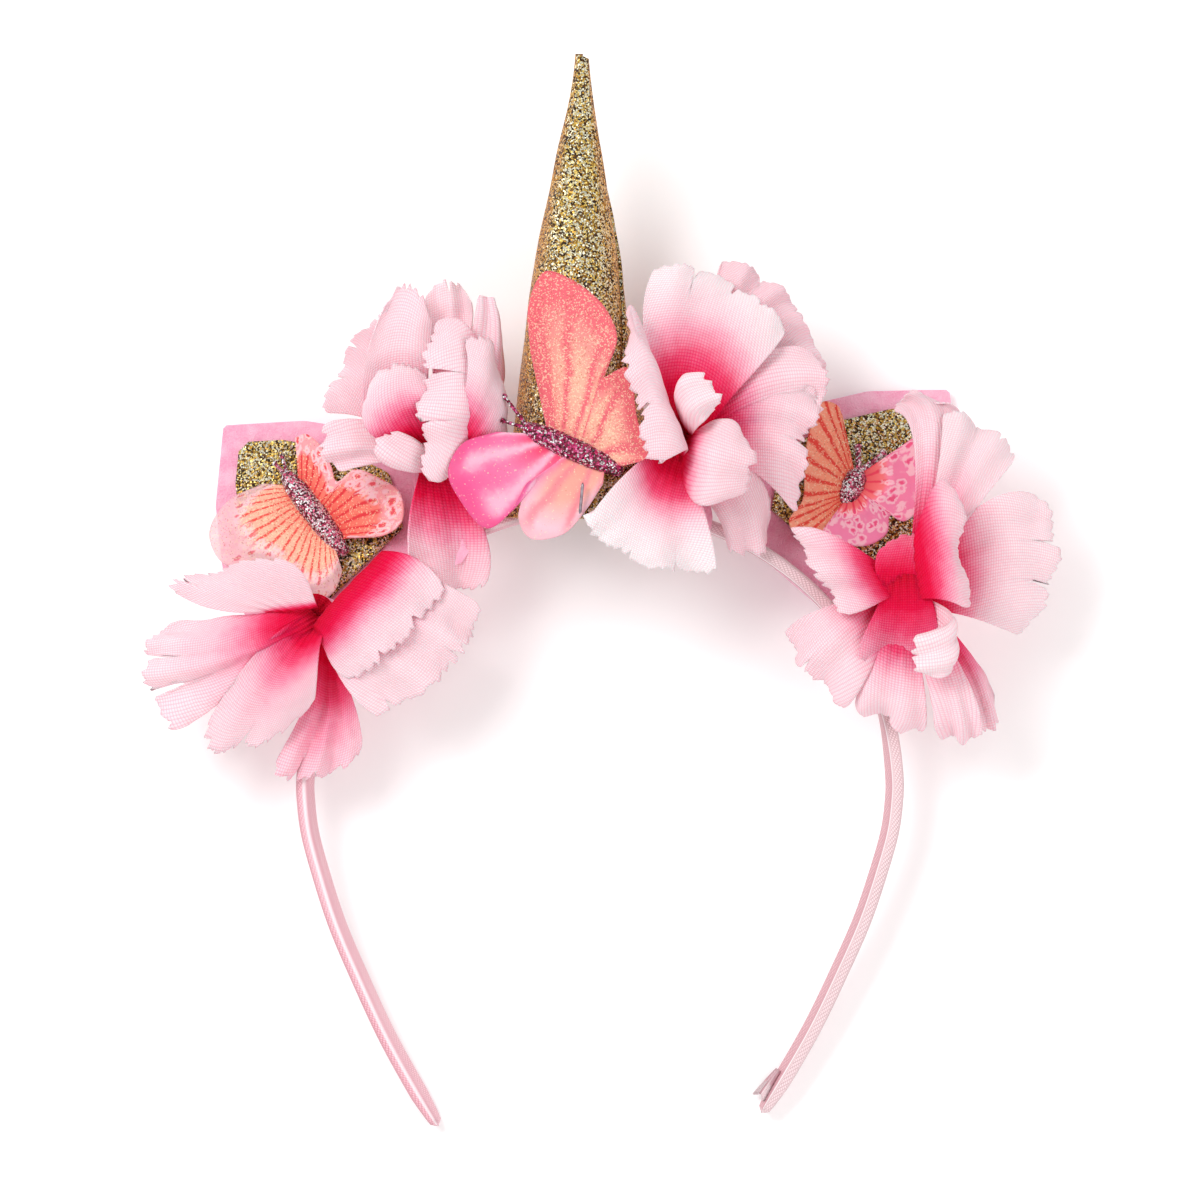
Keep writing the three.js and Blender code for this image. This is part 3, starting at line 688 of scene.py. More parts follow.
crinkle_height = 0.7 * mm
throat_pleat = 0.12 * mm
whiter_from = 0.3
petal_column = 0.42 * mm
petal_row = 0.9 * mm


def petal(root, mid, rim, blush, slits=(), waves=2, whiter=0.0, full=fullness):
    """One petal, in hundredths of the petal reach from its throat. Its root is three points, or one
    that the cloth is gathered at. Each slit is a place along the rim and a depth in mm."""
    return {"root": root, "mid": mid, "rim": rim, "blush": blush, "slits": slits, "waves": waves,
            "whiter": whiter, "full": full}


low_left_back = [
    petal([(-22, 2, 13), (-10, 2, 14), (2, 4, 14)], [(-46, 4, 16), (-34, 14, 20), (-6, 17, 20)],
          [(-77, 14, 8), (-52, 24, 16), (-12, 30, 22)], 0.12, slits=[(0.22, 4), (0.42, 3)],
          waves=1),
    petal([(-6, 5, 8), (1, 0, 5), (4, -6, 4)], [(-35, -2, 14), (-40, -18, 24), (-30, -27, 18)],
          [(-75, -4, 2), (-87, -25, 6), (-70, -61, 4)], 0.6, slits=[(0.42, 8), (0.74, 12)],
          waves=3),
    petal((2, -3, 4), [(-27, -20, 22), (-18, -33, 20), (0, -24, 24)],
          [(-58, -60, 10), (-38, -69, 8), (2, -46, 16)], 0.62, slits=[(0.5, 4)]),
    petal((3, -4, 3), [(0, -37, 6), (8, -42, 4), (16, -36, 6)],
          [(-24, -78, 2), (-2, -84, 0), (26, -68, 0)], 0.85, slits=[(0.3, 5)], waves=3),
    petal([(0, -7, 8), (8, 4, 12), (34, 31, 6)], [(15, -28, 18), (40, -8, 20), (58, 16, 14)],
          [(30, -52, 10), (70, -28, 10), (84, 6, 8)], 0.5, slits=[(0.1, 4), (0.6, 3)], waves=3,
          whiter=0.25),
    petal([(0, -6, 11), (8, 5, 15), (34, 32, 9)], [(9, -20, 19), (29, -2, 24), (52, 24, 16)],
          [(17, -36, 17), (46, -13, 22), (68, 13, 18)], 0.54, waves=1),
]
top_left_back = [
    petal((-2, 4, 3), [(-30, 20, 2), (-25, 42, 0), (-12, 52, 1)],
          [(-55, 18, 0), (-40, 55, -4), (-10, 83, -1)], 0.45,
          slits=[(0.25, 5), (0.5, 6), (0.75, 4)]),
    petal((-2, 1, 4), [(-25, -3, 8), (-29, 5, 12), (-31, 15, 8)],
          [(-48, -11, 8), (-54, 2, 8), (-55, 15, 6)], 0.3),
    petal((3, 4, 3), [(2, 45, 2), (11, 47, 0), (19, 52, 2)],
          [(-4, 81, -2), (9, 88, -2), (21, 79, 0)], 0.4, slits=[(0.5, 4)], whiter=0.3),
    petal((5, 2, 4), [(16, 45, 8), (25, 45, 12), (36, 35, 6)],
          [(22, 76, 6), (28, 80, 10), (31, 77, 6)], 0.5),
    petal((3, -5, 4), [(-9, -37, 12), (9, -42, 2), (27, -41, 0)],
          [(-9, -60, 10), (9, -67, 0), (28, -68, -2)], 0.62, slits=[(0.3, 3)]),
]
top_left_front = [
    petal((-4, 4, 10), [(-32, 28, 14), (-18, 38, 14), (-2, 38, 14)],
          [(-20, 80, 10), (-8, 86, 8), (3, 64, 10)], 0.5, waves=1),
    petal((-4, 6, 14), [(-28, 12, 24), (-16, 24, 30), (-1, 24, 26)],
          [(-32, 28, 16), (-16, 46, 20), (0, 42, 22)], 0.64, waves=1),
    petal((32, 26, 14), [(18, 62, 24), (16, 28, 34), (10, -8, 26)],
          [(0, 64, 22), (-6, 28, 28), (-2, -11, 24)], 0.36, slits=[(0.33, 9), (0.64, 11)], waves=3),
    petal((12, 0, 20), [(20, 36, 34), (30, 28, 32), (36, 8, 22)],
          [(16, 60, 28), (34, 46, 20), (40, 10, 12)], 0.45, waves=1),
    petal((2, -6, 14), [(-14, -7, 22), (-11, -1, 26), (-5, 5, 22)],
          [(-29, 2, 20), (-25, 9, 26), (-19, 13, 22)], 0.2, waves=1),
]
top_right_back = [
    petal((4, 6, 3), [(16, 60, 0), (35, 55, -2), (47, 35, 0)],
          [(20, 92, -4), (55, 71, -8), (76, 26, -6)], 0.45, slits=[(0.3, 4), (0.6, 3)], waves=4),
    petal((6, 1, 4), [(42, 27, 8), (42, 7, 12), (39, -15, 8)],
          [(71, 24, 6), (66, -2, 8), (58, -42, 2)], 0.5, slits=[(0.55, 5)], waves=3),
    petal((4, -5, 4), [(35, -15, 8), (27, -30, 10), (16, -32, 6)],
          [(49, -40, -2), (36, -60, -2), (21, -48, 0)], 0.4),
    petal((6, 3, 6), [(36, 40, 8), (42, 22, 10), (38, 6, 8)],
          [(70, 46, 2), (74, 26, 4), (68, 8, 2)], 0.5),
]
top_right_front = [
    petal((2, 8, 10), [(-15, 52, 18), (11, 57, 12), (34, 36, 14)],
          [(-14, 87, 14), (21, 82, 8), (56, 55, 10)], 0.6, slits=[(0.33, 7), (0.62, 6), (0.8, 4)],
          whiter=0.7),
    petal((-3, 1, 10), [(-20, 58, 32), (-10, 27, 40), (1, -3, 38)],
          [(-29, 61, 28), (-25, 20, 36), (-14, -16, 34)], 0.2, slits=[(0.62, 5)]),
    petal((3, 5, 11), [(-2, 28, 34), (1, 19, 40), (9, 8, 40)],
          [(9, 36, 38), (18, 26, 44), (22, 14, 40)], 0.2, whiter=0.4),
    petal((2, -5, 10), [(16, 7, 32), (14, -10, 40), (9, -30, 34)],
          [(29, 10, 36), (38, -15, 32), (28, -28, 30)], 0.4),
    petal((-3, -7, 10), [(-27, -20, 32), (-14, -40, 29), (10, -40, 24)],
          [(-50, -42, 36), (-20, -63, 28), (20, -68, 16)], 0.5, slits=[(0.4, 3), (0.75, 4)],
          whiter=1),
]
low_right_back = [
    petal((4, 7, 3), [(5, 72, -4), (14, 76, -4), (28, 68, -2)],
          [(-8, 88, -8), (2, 97, -8), (22, 93, -6)], 0.35),
    petal((5, 5, 4), [(17, 57, 4), (30, 60, 2), (33, 41, 6)],
          [(18, 91, -2), (40, 82, -4), (59, 68, -4)], 0.4, slits=[(0.4, 5), (0.72, 4)],
          whiter=0.45),
    petal((7, 1, 4), [(40, 41, 4), (47, 15, 2), (40, -13, 4)],
          [(68, 48, -6), (77, 12, -10), (58, -25, -6)], 0.42, slits=[(0.36, 8), (0.66, 8)], waves=3,
          whiter=0.4),
    petal((6, -5, 4), [(33, -32, 6), (30, -37, 10), (26, -39, 6)],
          [(48, -57, 0), (42, -71, 0), (33, -62, 0)], 0.7),
    petal((-6, -3, 4), [(-41, -10, 16), (-33, -23, 20), (-21, -41, 18)],
          [(-61, -21, 8), (-50, -42, 8), (-28, -58, 8)], 0.4, slits=[(0.45, 4)]),
    petal((-3, -7, 4), [(-20, -42, 16), (-6, -49, 18), (8, -50, 16)],
          [(-26, -58, 8), (-10, -67, 6), (10, -73, 4)], 0.42, slits=[(0.5, 4)]),
]
low_right_front = [
    petal((-6, 4, 10), [(-34, 24, 20), (-28, 9, 26), (-18, -6, 22)],
          [(-61, 33, 16), (-48, 9, 20), (-33, -14, 20)], 0.62),
    petal((3, 4, 10), [(12, 48, 22), (18, 20, 32), (20, -5, 30)],
          [(22, 54, 20), (30, 20, 26), (31, -12, 24)], 0.7, waves=1, full=0),
    petal((6, -6, 11), [(23, -15, 30), (25, -26, 32), (23, -37, 30)],
          [(-1, -23, 30), (1, -34, 34), (4, -44, 30)], 0.15, whiter=0.5),
    petal((5, -7, 10), [(12, -48, 18), (22, -50, 21), (30, -47, 18)],
          [(16, -72, 10), (27, -77, 8), (36, -74, 8)], 0.4),
    petal([(-6, -8, 14), (0, -9, 13), (8, -6, 15)], [(-14, 8, 18), (0, 10, 14), (14, 12, 20)],
          [(-14, 24, 18), (4, 29, 14), (22, 26, 22)], 1.5, waves=1),
    petal([(-10, 6, 15), (0, 8, 14), (10, 6, 16)], [(-16, -14, 19), (0, -18, 15), (14, -14, 18)],
          [(-28, -32, 18), (-4, -44, 14), (18, -34, 16)], 1.0, waves=1),
]
flowers = [
    {"name": "flower_low_left", "station": 147, "throat": (-0.189, 0.081),
     "back": low_left_back, "front": []},
    {"name": "flower_top_left", "station": 121, "throat": (-0.091, 0.454),
     "back": top_left_back, "front": top_left_front},
    {"name": "flower_top_right", "station": 72, "throat": (-0.056, 0.4),
     "back": top_right_back, "front": top_right_front},
    {"name": "flower_low_right", "station": 33, "throat": (0.289, 0.206),
     "back": low_right_back, "front": low_right_front},
]


def throat_of(flower):
    across, up = [share * petal_reach for share in flower["throat"]]
    return arch_point(flower["station"]) + Vector((across, up, pad_front))


def through(first, middle, last, share):
    """A curve through three values, at 0, a half and 1."""
    falling = first * ((1 - share) * (1 - 2 * share))
    return falling + middle * (4 * share * (1 - share)) + last * (share * (2 * share - 1))


def petal_lines(petal):
    """A petal's root, middle and rim, three points each."""
    mid = [Vector(point) for point in petal["mid"]]
    rim = [Vector(point) for point in petal["rim"]]
    if isinstance(petal["root"], list):
        root = [Vector(point) for point in petal["root"]]
    else:
        drawn_in = [Vector([share * value for share, value in zip(gather, point - mid[1])])
                    for point in mid]
        root = [Vector(petal["root"]) + pull for pull in drawn_in]
    return [[point * 0.01 * petal_reach for point in line] for line in (root, mid, rim)]


def petal_piece(flower, petal, seed):
    """One petal: a fan of cloth with a serrated rim, slits, waves and a dye that fades outward."""
    chance = random.Random(seed)
    throat = throat_of(flower)
    lines = petal_lines(petal)
    rim_width = sum((lines[2][k + 1] - lines[2][k]).length for k in (0, 1))
    root_width = sum((lines[0][k + 1] - lines[0][k]).length for k in (0, 1))
    middles = [line[1] for line in lines]
    length = (middles[1] - middles[0]).length + (middles[2] - middles[1]).length
    teeth = [0.35 + 0.65 * chance.random() for _ in range(tooth_count)]
    frays = [chance.random() for _ in range(fray_count)]
    turn = chance.random() * 2 * math.pi
    lobes = max(round(rim_width / lobe_pitch), 1)

    def cut_at(across):
        """How much of the cloth is cut away at the rim."""
        run = across * rim_width / tooth_pitch + 0.3 * math.sin(9 * across + turn)
        tooth = (run % 1.0) * tooth_depth * teeth[int(run) % tooth_count]
        from_side = min(min(across, 1 - across) * rim_width / rim_corner, 1.0)
        corner = rim_corner * (1 - math.sqrt(1 - (1 - from_side) ** 2))
        fray = fray_depth * frays[int(across * rim_width / fray_pitch) % fray_count]
        slit = 0.0
        for centre, depth in petal["slits"]:
            near = 1 - abs(across - centre) * rim_width / (slit_width / 2)
            slit = max(slit, depth * mm * min(max(near, 0.0), 1.0))
        lobe = lobe_depth * (1 - abs(math.sin(math.pi * lobes * across))) ** 2
        return tooth + fray + slit + corner + lobe

    def reach_at(across, along):
        return along * (1 - min(cut_at(across) / length, deepest_cut) * along)

    def shape(across, along):
        side = 0.5 + (across - 0.5) * (1 + petal["full"] * 4 * along * (1 - along))
        line = [through(row[0], row[1], row[2], side) for row in lines]
        return placed(throat + through(line[0], line[1], line[2], reach_at(across, along)))

    columns = min(max(int(rim_width / petal_column), 16), 150)
    rows = min(max(int(length / petal_row), 14), 60)
    piece = bent_grid("petal", columns, rows, shape)
    mesh = piece.data
    fan = max((rim_width - root_width) / length, 0.05)
    start = root_width / fan
    fade = mesh.attributes.new("fade", "FLOAT", "POINT")
    whiter = mesh.attributes.new("whiter", "FLOAT", "POINT")
    map_points = []
    pushes = []
    for index, vertex in enumerate(mesh.vertices):
        across = (index % (columns + 1)) / columns
        along = reach_at(across, (index // (columns + 1)) / rows)
        far = start + along * length
        angle = (across - 0.5) * fan
        map_points.append((far * math.sin(angle), far * math.cos(angle)))
        fade.data[index].value = along / petal["blush"]
        outer_share = max(along - whiter_from, 0.0) / (1 - whiter_from)
        whiter.data[index].value = outer_share * petal["whiter"]
        spot = vertex.co / crumple_size + Vector((seed, 0, 0))
        push = wave_height * along**1.7 * math.sin(2 * math.pi * petal["waves"] * across + turn)
        push -= lobe_lift * along**2.5 * math.cos(2 * math.pi * lobes * across)
        push += crumple_height * along * noise.noise(spot)
        push += crinkle_height * along**2 * noise.noise(spot * 2.3)
        push += throat_pleat * (1 - along) ** 2 * math.sin(2 * math.pi * 6 * across)
        pushes.append(push)
    normals = [vertex.normal.copy() for vertex in mesh.vertices]
    for vertex, normal, push in zip(mesh.vertices, normals, pushes):
        vertex.co += normal * push
    cloth_map = mesh.uv_layers[0]
    cloth_map.name = "cloth"
    for loop in mesh.loops:
        cloth_map.data[loop.index].uv = map_points[loop.vertex_index]
    return piece


def gathered_heart(flower, layer):
    """The stitched middle of a layer: a small pleated disc of crimson cloth."""
    throat = throat_of(flower)
    low = gap if layer == "back" else 2 * gap + hub_heights["back"]
    high = low + hub_heights[layer]

    def shape(around, along):
        angle = 2 * math.pi * around
        radius = hub_radius * along
        pleat = 0.35 * mm * math.sin(14 * angle) * along
        height = low + (high - low) * (0.35 + 0.3 * along) + pleat
        return placed(throat + Vector((radius * math.cos(angle), radius * math.sin(angle), height)))

    piece = bent_grid("heart", 96, 8, shape)
    fade = piece.data.attributes.new("fade", "FLOAT", "POINT")
    for index in range(len(piece.data.vertices)):
        fade.data[index].value = 0.0
    cloth_map = piece.data.uv_layers[0]
    cloth_map.name = "cloth"
    for loop in piece.data.loops:
        around, along = cloth_map.data[loop.index].uv
        cloth_map.data[loop.index].uv = (around * 2 * math.pi * hub_radius, along * hub_radius)
    return piece


def petal_cloth():
    """Dyed polyester: a fine open weave, with the dye sprayed from the throat outward."""
    finish = Finish("petal_cloth", Roughness=0.9, Specular_IOR_Level=0.06, Subsurface_Weight=0.3,
                    Subsurface_Radius=(1.0, 0.45, 0.5), Subsurface_Scale=0.0012)
    across, along = finish.uv("cloth")
    warp = (across * (math.pi / thread_pitch)).sine().size()
    weft = (along * (math.pi / thread_pitch)).sine().size()
    threads = warp * weft
    spray = finish.noise(420.0, 3.0) - 0.5
    broad = finish.noise(90.0, 2.0) - 0.5
    fade = finish.carried("fade") + 0.16 * spray + 0.3 * broad
    dye = finish.ramp(
        fade * 0.6,
        (0.0, colour(204, 2, 50)),
        (0.2, colour(228, 14, 72)),
        (0.34, colour(238, 66, 116)),
        (0.47, colour(246, 138, 170)),
        (0.61, colour(251, 190, 205)),
        (0.84, colour(252, 214, 222)),
    )
    dye = finish.mix(finish.carried("whiter"), dye, colour(255, 250, 250))
    holes = 1 - threads.eased(0.05, 0.55)
    deep = finish.mix(1.0, dye, colour(250, 226, 232), "MULTIPLY")
    light = finish.mix(0.012 + fade.eased(0.3, 1.1) * 0.24, dye, colour(255, 242, 244))
    dye = finish.mix(holes, light, deep)
    finish.set(Base_Color=dye)
    finish.bump(threads, 0.12 * mm)
    return finish


dyed_cloth = petal_cloth()
for order, flower in enumerate(flowers):
    for layer in ("back", "front"):
        if not flower[layer]:
            continue
        parts = [gathered_heart(flower, layer)]
        for place, petal in enumerate(flower[layer]):
            parts.append(petal_piece(flower, petal, 100 * order + 10 * (layer == "front") + place))
        petals = joined(f"{flower['name']}_{layer}_petals", parts)
        cut = flat_area(petals)
        applied(petals, "SOLIDIFY", thickness=cloth_thickness, offset=0)
        kept(petals, dyed_cloth, "petal_cloth", f"{flower['name']}_{layer}")
        side = square_side(cut)
for flower in flowers:
    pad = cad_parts[f"{flower['name']}_pad"]
    pad.data.materials.clear()
    pad.data.materials.append(pink_felt.material)


# Butterflies
# Wings of thin printed cloth on a body of glitter, with two wire feelers. One sits on the horn,
# with its steel pin beside its tail, and one on the gold sheet of each ear.
butterfly_size = 46.4 * mm
butterfly_body = 3.4 * mm
wing_camber = 0.01
wing_cloth = 0.35 * mm
feeler_thickness = 1 * mm
dust_grain = 0.24 * mm
body_flake = 0.42 * mm

# Places in hundredths of the butterfly size from its middle. A wing is the two ends of its root and
# the points of its rim.
butterflies = [
    {
        "name": "butterfly_middle", "rests_on": "horn", "seat": (0.148, -0.02),
        "head": (-24, 11, -1), "tail": (26, -12, -1),
        "feelers": [(-35, 14, -1), (-34, 27, -1)], "girth": (1.55, 1.0),
        "wings": {
            "upper": ([(-11, 5, -2), (15, -7, -2)], [
                (-20, 48, -2), (-21, 71, -6), (-13, 88, -10), (2, 83, -9), (17, 70, -6),
                (23, 54, -2), (15, 35, 0), (28, 40, 0), (33, 15, 1), (38, -4, 2), (26, -9, 1)]),
            "lower": ([(-15, 7, -2), (17, -8, -2)], [
                (-37, 8, 2), (-54, 2, 3), (-61, -12, 4), (-55, -26, 4), (-42, -40, 3),
                (-31, -33, 3), (-22, -18, 2), (-26, -35, 3), (-20, -45, 4), (-4, -43, 4),
                (6, -33, 4), (16, -18, 2)]),
        },
    },
    {
        "name": "butterfly_left", "rests_on": "left", "seat": (0.453, 0.017),
        "head": (-16, 22, 0), "tail": (16, -20, 0),
        "feelers": [(-21, 27, 0), (-17, 31, 0)], "girth": (1.62, 1.1),
        "wings": {
            "lower": ([(-11, 15, -2), (8, -9, -2)], [
                (-26, 16, 4), (-44, 7, 8), (-53, -9, 10), (-46, -24, 10), (-26, -30, 8),
                (-15, -43, 8), (-2, -46, 8), (10, -38, 8), (14, -28, 4)]),
            "upper": ([(-8, 12, -2), (11, -13, -2)], [
                (-10, 39, 4), (-5, 41, 4), (2, 36, 4), (8, 25, 4), (11, 17, 4), (20, 23, 5),
                (32, 19, 6), (43, 11, 8), (44, -3, 8), (35, -10, 7), (18, -10, 4)]),
        },
    },
    {
        "name": "butterfly_right", "rests_on": "right", "seat": (0.427, -0.04),
        "head": (4, 10, 0), "tail": (-4, -8, 0),
        "feelers": [(3, 23, 0), (17, 19, 0)], "girth": (1.62, 1.7),
        "wings": {
            "left": ([(2, 6, -1), (-3, -6, -1)], [
                (-4, 32, 4), (-7, 42, 4), (-15, 44, 4), (-22, 27, 5), (-24, 9, 6), (-25, -5, 7),
                (-32, -16, 8), (-27, -24, 8), (-14, -23, 6), (-8, -15, 3)]),
            "right": ([(3, 8, -1), (-2, -4, -1)], [
                (13, 7, 4), (26, 20, 10), (37, 29, 18), (39, 14, 18), (40, 0, 18), (26, -16, 14),
                (19, -13, 10), (17, -22, 14), (7, -28, 16), (-6, -27, 16), (-15, -22, 12),
                (-8, -14, 4)]),
        },
    },
]
# Along a body, a feeler or the pin and out from its middle line, as shares
body_stations = [
    (0.0, 0.0), (0.02, 0.5), (0.2, 0.85), (0.5, 1.0), (0.8, 0.9), (0.97, 0.55), (1.0, 0.0),
]


def butterfly_place(butterfly):
    """Turns a butterfly's own point into one of the drawing."""
    ear = ears.get(butterfly["rests_on"])
    along_share, out_share = butterfly["seat"]
    if ear:
        base, along, across, normal = ear_frame(ear)
        length = ear["reach"]
    else:
        base = Vector((horn_offset, horn_base, 0))
        along, across = Vector((0, 1, 0)), Vector((1, 0, 0))
        length = horn_height
    middle = base + along * (along_share * length) + across * (out_share * length)
    sheet_front = felt_thickness / 2 + gap + glitter_thickness

    def carried(x, y):
        if ear:
            fall = normal.x * (x - base.x) + normal.y * (y - base.y)
            return base.z + (sheet_front - fall) / normal.z
        return horn_radius_at(middle.y - horn_base) + horn_lap

    def at(point):
        right, up, lift = [value * 0.01 * butterfly_size for value in point]
        x, y = middle.x + right, middle.y + up
        return Vector((x, y, carried(x, y) + gap + butterfly_body / 2 + lift))

    return at


def wing_piece(name, at, wing):
    (front, rear), rim = [[at(point) for point in points] for points in wing]

    def shape(across, along):
        root = front.lerp(rear, across)
        point = root.lerp(on_smooth_line(rim, across), along)
        point.z += wing_camber * butterfly_size * 4 * along * (1 - along)
        return placed(point)

    return bent_grid(name, 12 * (len(rim) - 1), 36, shape)


def wing_print(name, root, middle, edge, stripe, stripes, width=0.45, soft=0.2, margin=0.8,
               margin_tone=None, spots=None, spot_tone=None, dust=0.0, sheer=0.0, lead=0.0,
               second=None):
    """Printed wing cloth: stripes that fan out from the body, and a margin that may be spotted.
    A second print may take over beyond a share of the way from the front edge to the rear one."""
    finish = Finish(name, Roughness=0.6, Specular_IOR_Level=0.3, Subsurface_Weight=0.25,
                    Subsurface_Radius=(1.0, 0.4, 0.35), Subsurface_Scale=0.001)
    across, along = finish.uv("UVMap")
    wobble = finish.noise(170.0, 3.0) - 0.5
    ragged = finish.noise(900.0, 2.0) - 0.5
    drift = along + 0.14 * wobble
    tone = finish.ramp(drift, (0.0, root), (0.45, middle), (0.9, edge))
    fan = ((across * stripes + 0.55 * wobble + 0.16 * ragged) * math.pi).sine().size()
    lines = 1 - fan.eased(width - soft, width + soft)
    strength = 1 - 0.6 * (drift - margin).eased(0.0, 0.12)
    tone = finish.mix(lines * strength, tone, stripe)
    if lead:
        tone = finish.mix(1 - (across + 0.1 * wobble).eased(lead * 0.3, lead), tone, stripe)
    if margin_tone:
        tone = finish.mix(drift.eased(margin - 0.06, margin + 0.07) * 0.85, tone, margin_tone)
    if spots:
        spread = {0: across * spots[0] + wobble, 1: along * spots[1] + ragged}
        cells = finish.node("TexVoronoi", {"feature": "F1"}, {
            "Vector": finish.node("CombineXYZ", None, spread), "Scale": 1.0, "Randomness": 0.7,
        }, "Distance")
        zone = drift.eased(margin - 0.12, margin - 0.04)
        rings = cells.eased(0.32, 0.4) * (1 - cells.eased(0.48, 0.6)) * zone
        tone = finish.mix(rings * 0.75, tone, colour(255, 208, 216))
        tone = finish.mix((1 - cells.eased(0.22, 0.32)) * zone * 0.85, tone, spot_tone or stripe)
    if second:
        rest = finish.ramp(drift, (0.0, second["root"]), (0.5, second["middle"]),
                           (0.85, second["edge"]))
        rest = finish.mix(lines * strength * 0.8, rest, second["stripe"])
        tone = finish.mix(across.eased(second["from"] - 0.04, second["from"] + 0.08), tone, rest)
    if dust:
        cells = {"Vector": finish.place(), "Scale": 1 / dust_grain}
        grains = finish.node("TexVoronoi", None, cells, "Color")
        bright = finish.axis_of(grains, 0).eased(1 - dust, 1.02 - dust)
        dark = finish.axis_of(grains, 1).eased(1 - dust * 0.4, 1.02 - dust * 0.4)
        tone = finish.mix(dark * 0.5, tone, colour(168, 88, 52))
        tone = finish.mix(bright * 0.5, tone, colour(255, 236, 196))
    finish.set(Base_Color=tone)
    if sheer:
        finish.set(Alpha=1 - sheer * drift.eased(margin, margin + 0.12))
    finish.bump(finish.noise(1800.0, 2.0), 0.08 * mm)
    return finish


wing_prints = {
    "butterfly_middle_upper": wing_print(
        "wing_coral_peach", colour(240, 146, 134), colour(244, 174, 152), colour(232, 112, 122),
        colour(228, 102, 114), 7, 0.5, 0.4, 0.8, colour(230, 100, 112), dust=0.2, lead=0.3),
    "butterfly_middle_lower": wing_print(
        "wing_hot_pink", colour(230, 26, 76), colour(243, 120, 164), colour(238, 92, 146),
        colour(248, 174, 198), 6, 0.5, 0.48, 0.84, colour(238, 88, 146), dust=0.03, sheer=0.15,
        second={"from": 0.56, "root": colour(245, 152, 138), "middle": colour(246, 170, 156),
                "edge": colour(249, 192, 204), "stripe": colour(240, 128, 142)}),
    "butterfly_left_lower": wing_print(
        "wing_peach_veined", colour(240, 112, 88), colour(250, 184, 156), colour(249, 170, 160),
        colour(230, 78, 72), 18, 0.42, 0.22, 0.66, colour(251, 202, 212), (26, 7),
        colour(232, 96, 116), dust=0.2, sheer=0.5),
    "butterfly_left_upper": wing_print(
        "wing_coral_red", colour(226, 72, 62), colour(243, 118, 100), colour(245, 130, 124),
        colour(222, 48, 58), 15, 0.46, 0.26, 0.7, colour(250, 164, 172), (20, 6),
        colour(226, 52, 70), dust=0.1),
    "butterfly_right_left": wing_print(
        "wing_orange_striped", colour(232, 84, 62), colour(247, 150, 118), colour(247, 156, 128),
        colour(226, 66, 56), 15, 0.52, 0.22, 0.97, dust=0.14),
    "butterfly_right_right": wing_print(
        "wing_pink_looped", colour(234, 74, 74), colour(247, 124, 128), colour(246, 132, 172),
        colour(230, 58, 84), 12, 0.42, 0.24, 0.42, colour(246, 134, 176), (22, 7),
        colour(235, 72, 122), sheer=0.2),
}
magenta_tints = [
    (0.0, colour(44, 0, 16)),
    (0.28, colour(132, 4, 56)),
    (0.56, colour(202, 26, 102)),
    (0.76, colour(238, 116, 170)),
    (0.88, colour(255, 250, 253)),
]
silver_pink_tints = [
    (0.0, colour(44, 4, 20)),
    (0.24, colour(140, 24, 62)),
    (0.44, colour(222, 84, 126)),
    (0.6, colour(250, 190, 208)),
    (0.74, colour(255, 255, 255)),
]
body_glitters = {
    "butterfly_middle": glitter("magenta_glitter", body_flake, magenta_tints, 0.35),
    "butterfly_left": glitter("silver_pink_glitter", body_flake, silver_pink_tints, 0.35),
}
body_glitters["butterfly_right"] = body_glitters["butterfly_left"]


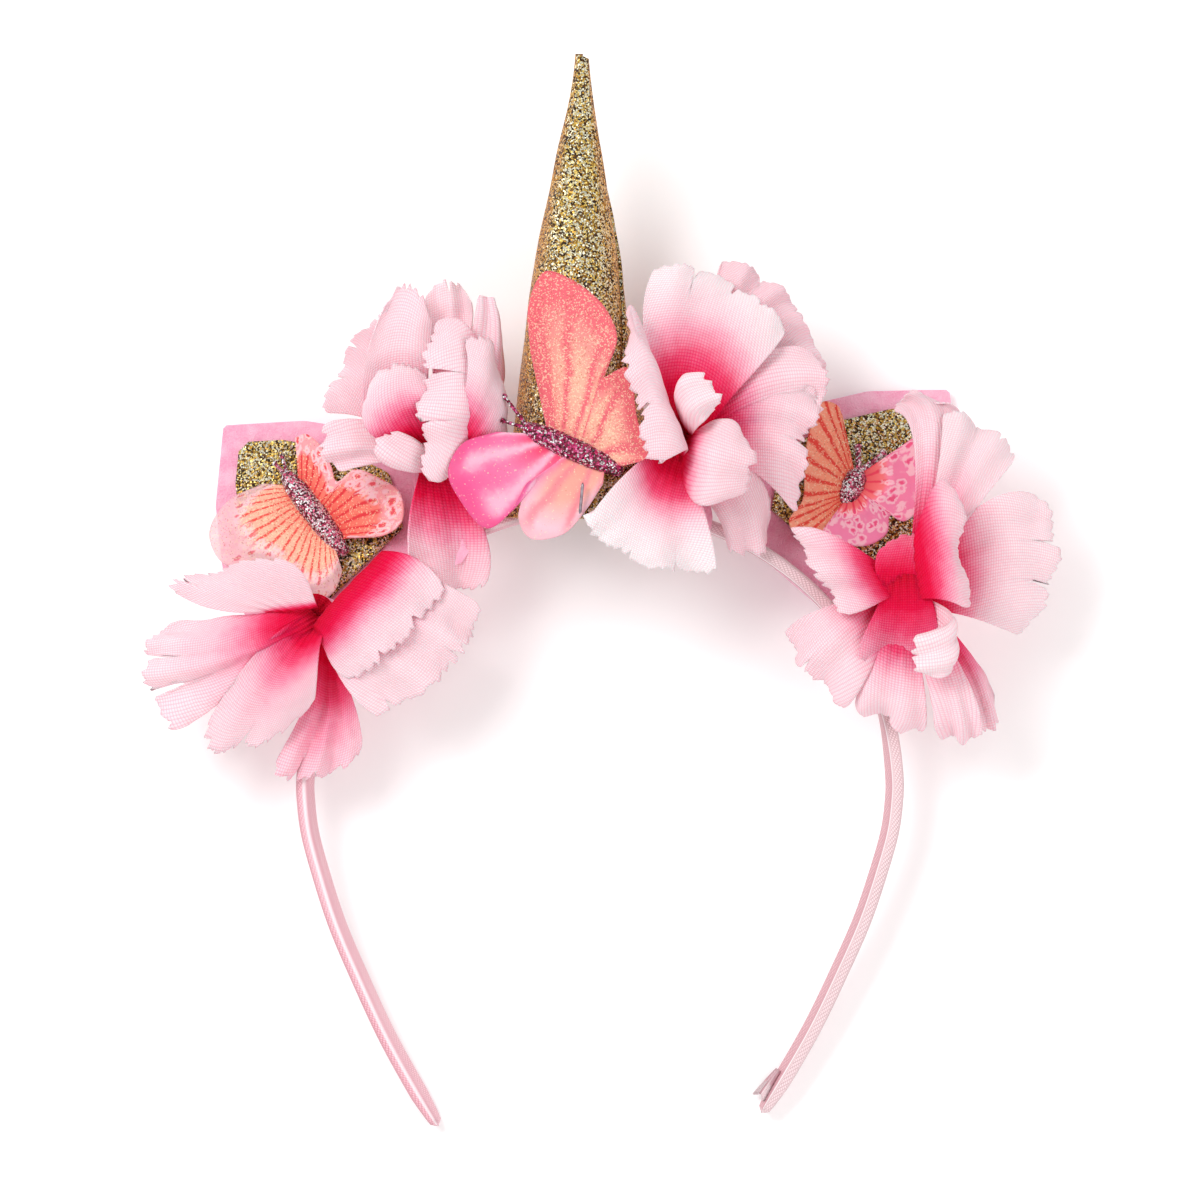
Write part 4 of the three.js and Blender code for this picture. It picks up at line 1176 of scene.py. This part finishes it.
def turned_piece(name, start, end, stations, radius, lumps, sides=28, rings=60):
    """A round piece between two points, its thickness read off stations, rough with glitter."""
    way = (end - start).normalized()
    side_way = way.cross(Vector((0, 0, 1))).normalized()
    up_way = side_way.cross(way)
    length = (end - start).length

    def shape(around, along):
        angle = 2 * math.pi * around
        out = reading(stations, along) * radius
        rough = lumps * math.sin(5 * angle + 37 * along) * math.sin(3 * angle - 61 * along)
        out = max(out + rough * min(out / radius, 1), 0.0)
        spot = start + way * (along * length)
        return placed(spot + side_way * (out * math.cos(angle)) + up_way * (out * math.sin(angle)))

    piece = bent_grid(name, sides, rings, shape)
    closed_up(piece)
    return piece


wire_stations = [(0.0, 0.0), (0.01, 0.9), (0.84, 0.8), (0.9, 1.3), (0.97, 1.2), (1.0, 0.0)]
for butterfly in butterflies:
    at = butterfly_place(butterfly)
    name = butterfly["name"]
    head, tail, middle = at(butterfly["head"]), at(butterfly["tail"]), at((0, 0, 0))
    plump, wire = butterfly["girth"]
    radius = plump * butterfly_body / 2
    parts = [turned_piece("body", tail, head, body_stations, radius, 0.22 * mm)]
    for end in butterfly["feelers"]:
        parts.append(turned_piece("feeler", head.lerp(middle, 0.15), at(end), wire_stations,
                                  wire * feeler_thickness / 2, 0.06 * mm, 12, 40))
    body = joined(f"{name}_glitter_body", parts)
    kept(body, body_glitters[name], "butterfly_glitter", f"{name}_body")
    for side, wing in butterfly["wings"].items():
        piece = wing_piece(f"{name}_{side}_wing", at, wing)
        cut = flat_area(piece)
        applied(piece, "SOLIDIFY", thickness=wing_cloth, offset=0)
        kept(piece, wing_prints[f"{name}_{side}"], "wing_print", f"{name}_wing_{side}")
        cut_side = square_side(cut)


# Pin
# A short steel wire with a cut end, pushed through the middle butterfly's lower wing.
pin_points = [(6, -17, 7), (4.5, -33, 7)]
pin_thickness = 0.7 * mm
pin_stations = [(0.0, 0.0), (0.01, 0.9), (0.08, 1.0), (0.97, 1.0), (1.0, 0.0)]
pin_ends = [butterfly_place(butterflies[0])(point) for point in pin_points]
steel = Finish("pin_steel", Metallic=0.9, Roughness=0.35)
scratches = steel.noise(900.0, 3.0)
steel.set(Base_Color=steel.mix(scratches, colour(74, 64, 74), colour(190, 182, 190)))
steel.set(Roughness=0.25 + 0.25 * scratches)
pin = turned_piece("butterfly_pin", pin_ends[1], pin_ends[0], pin_stations, pin_thickness / 2, 0,
                   16, 12)
kept(pin, steel, "pin_wire", "butterfly_middle_pin")
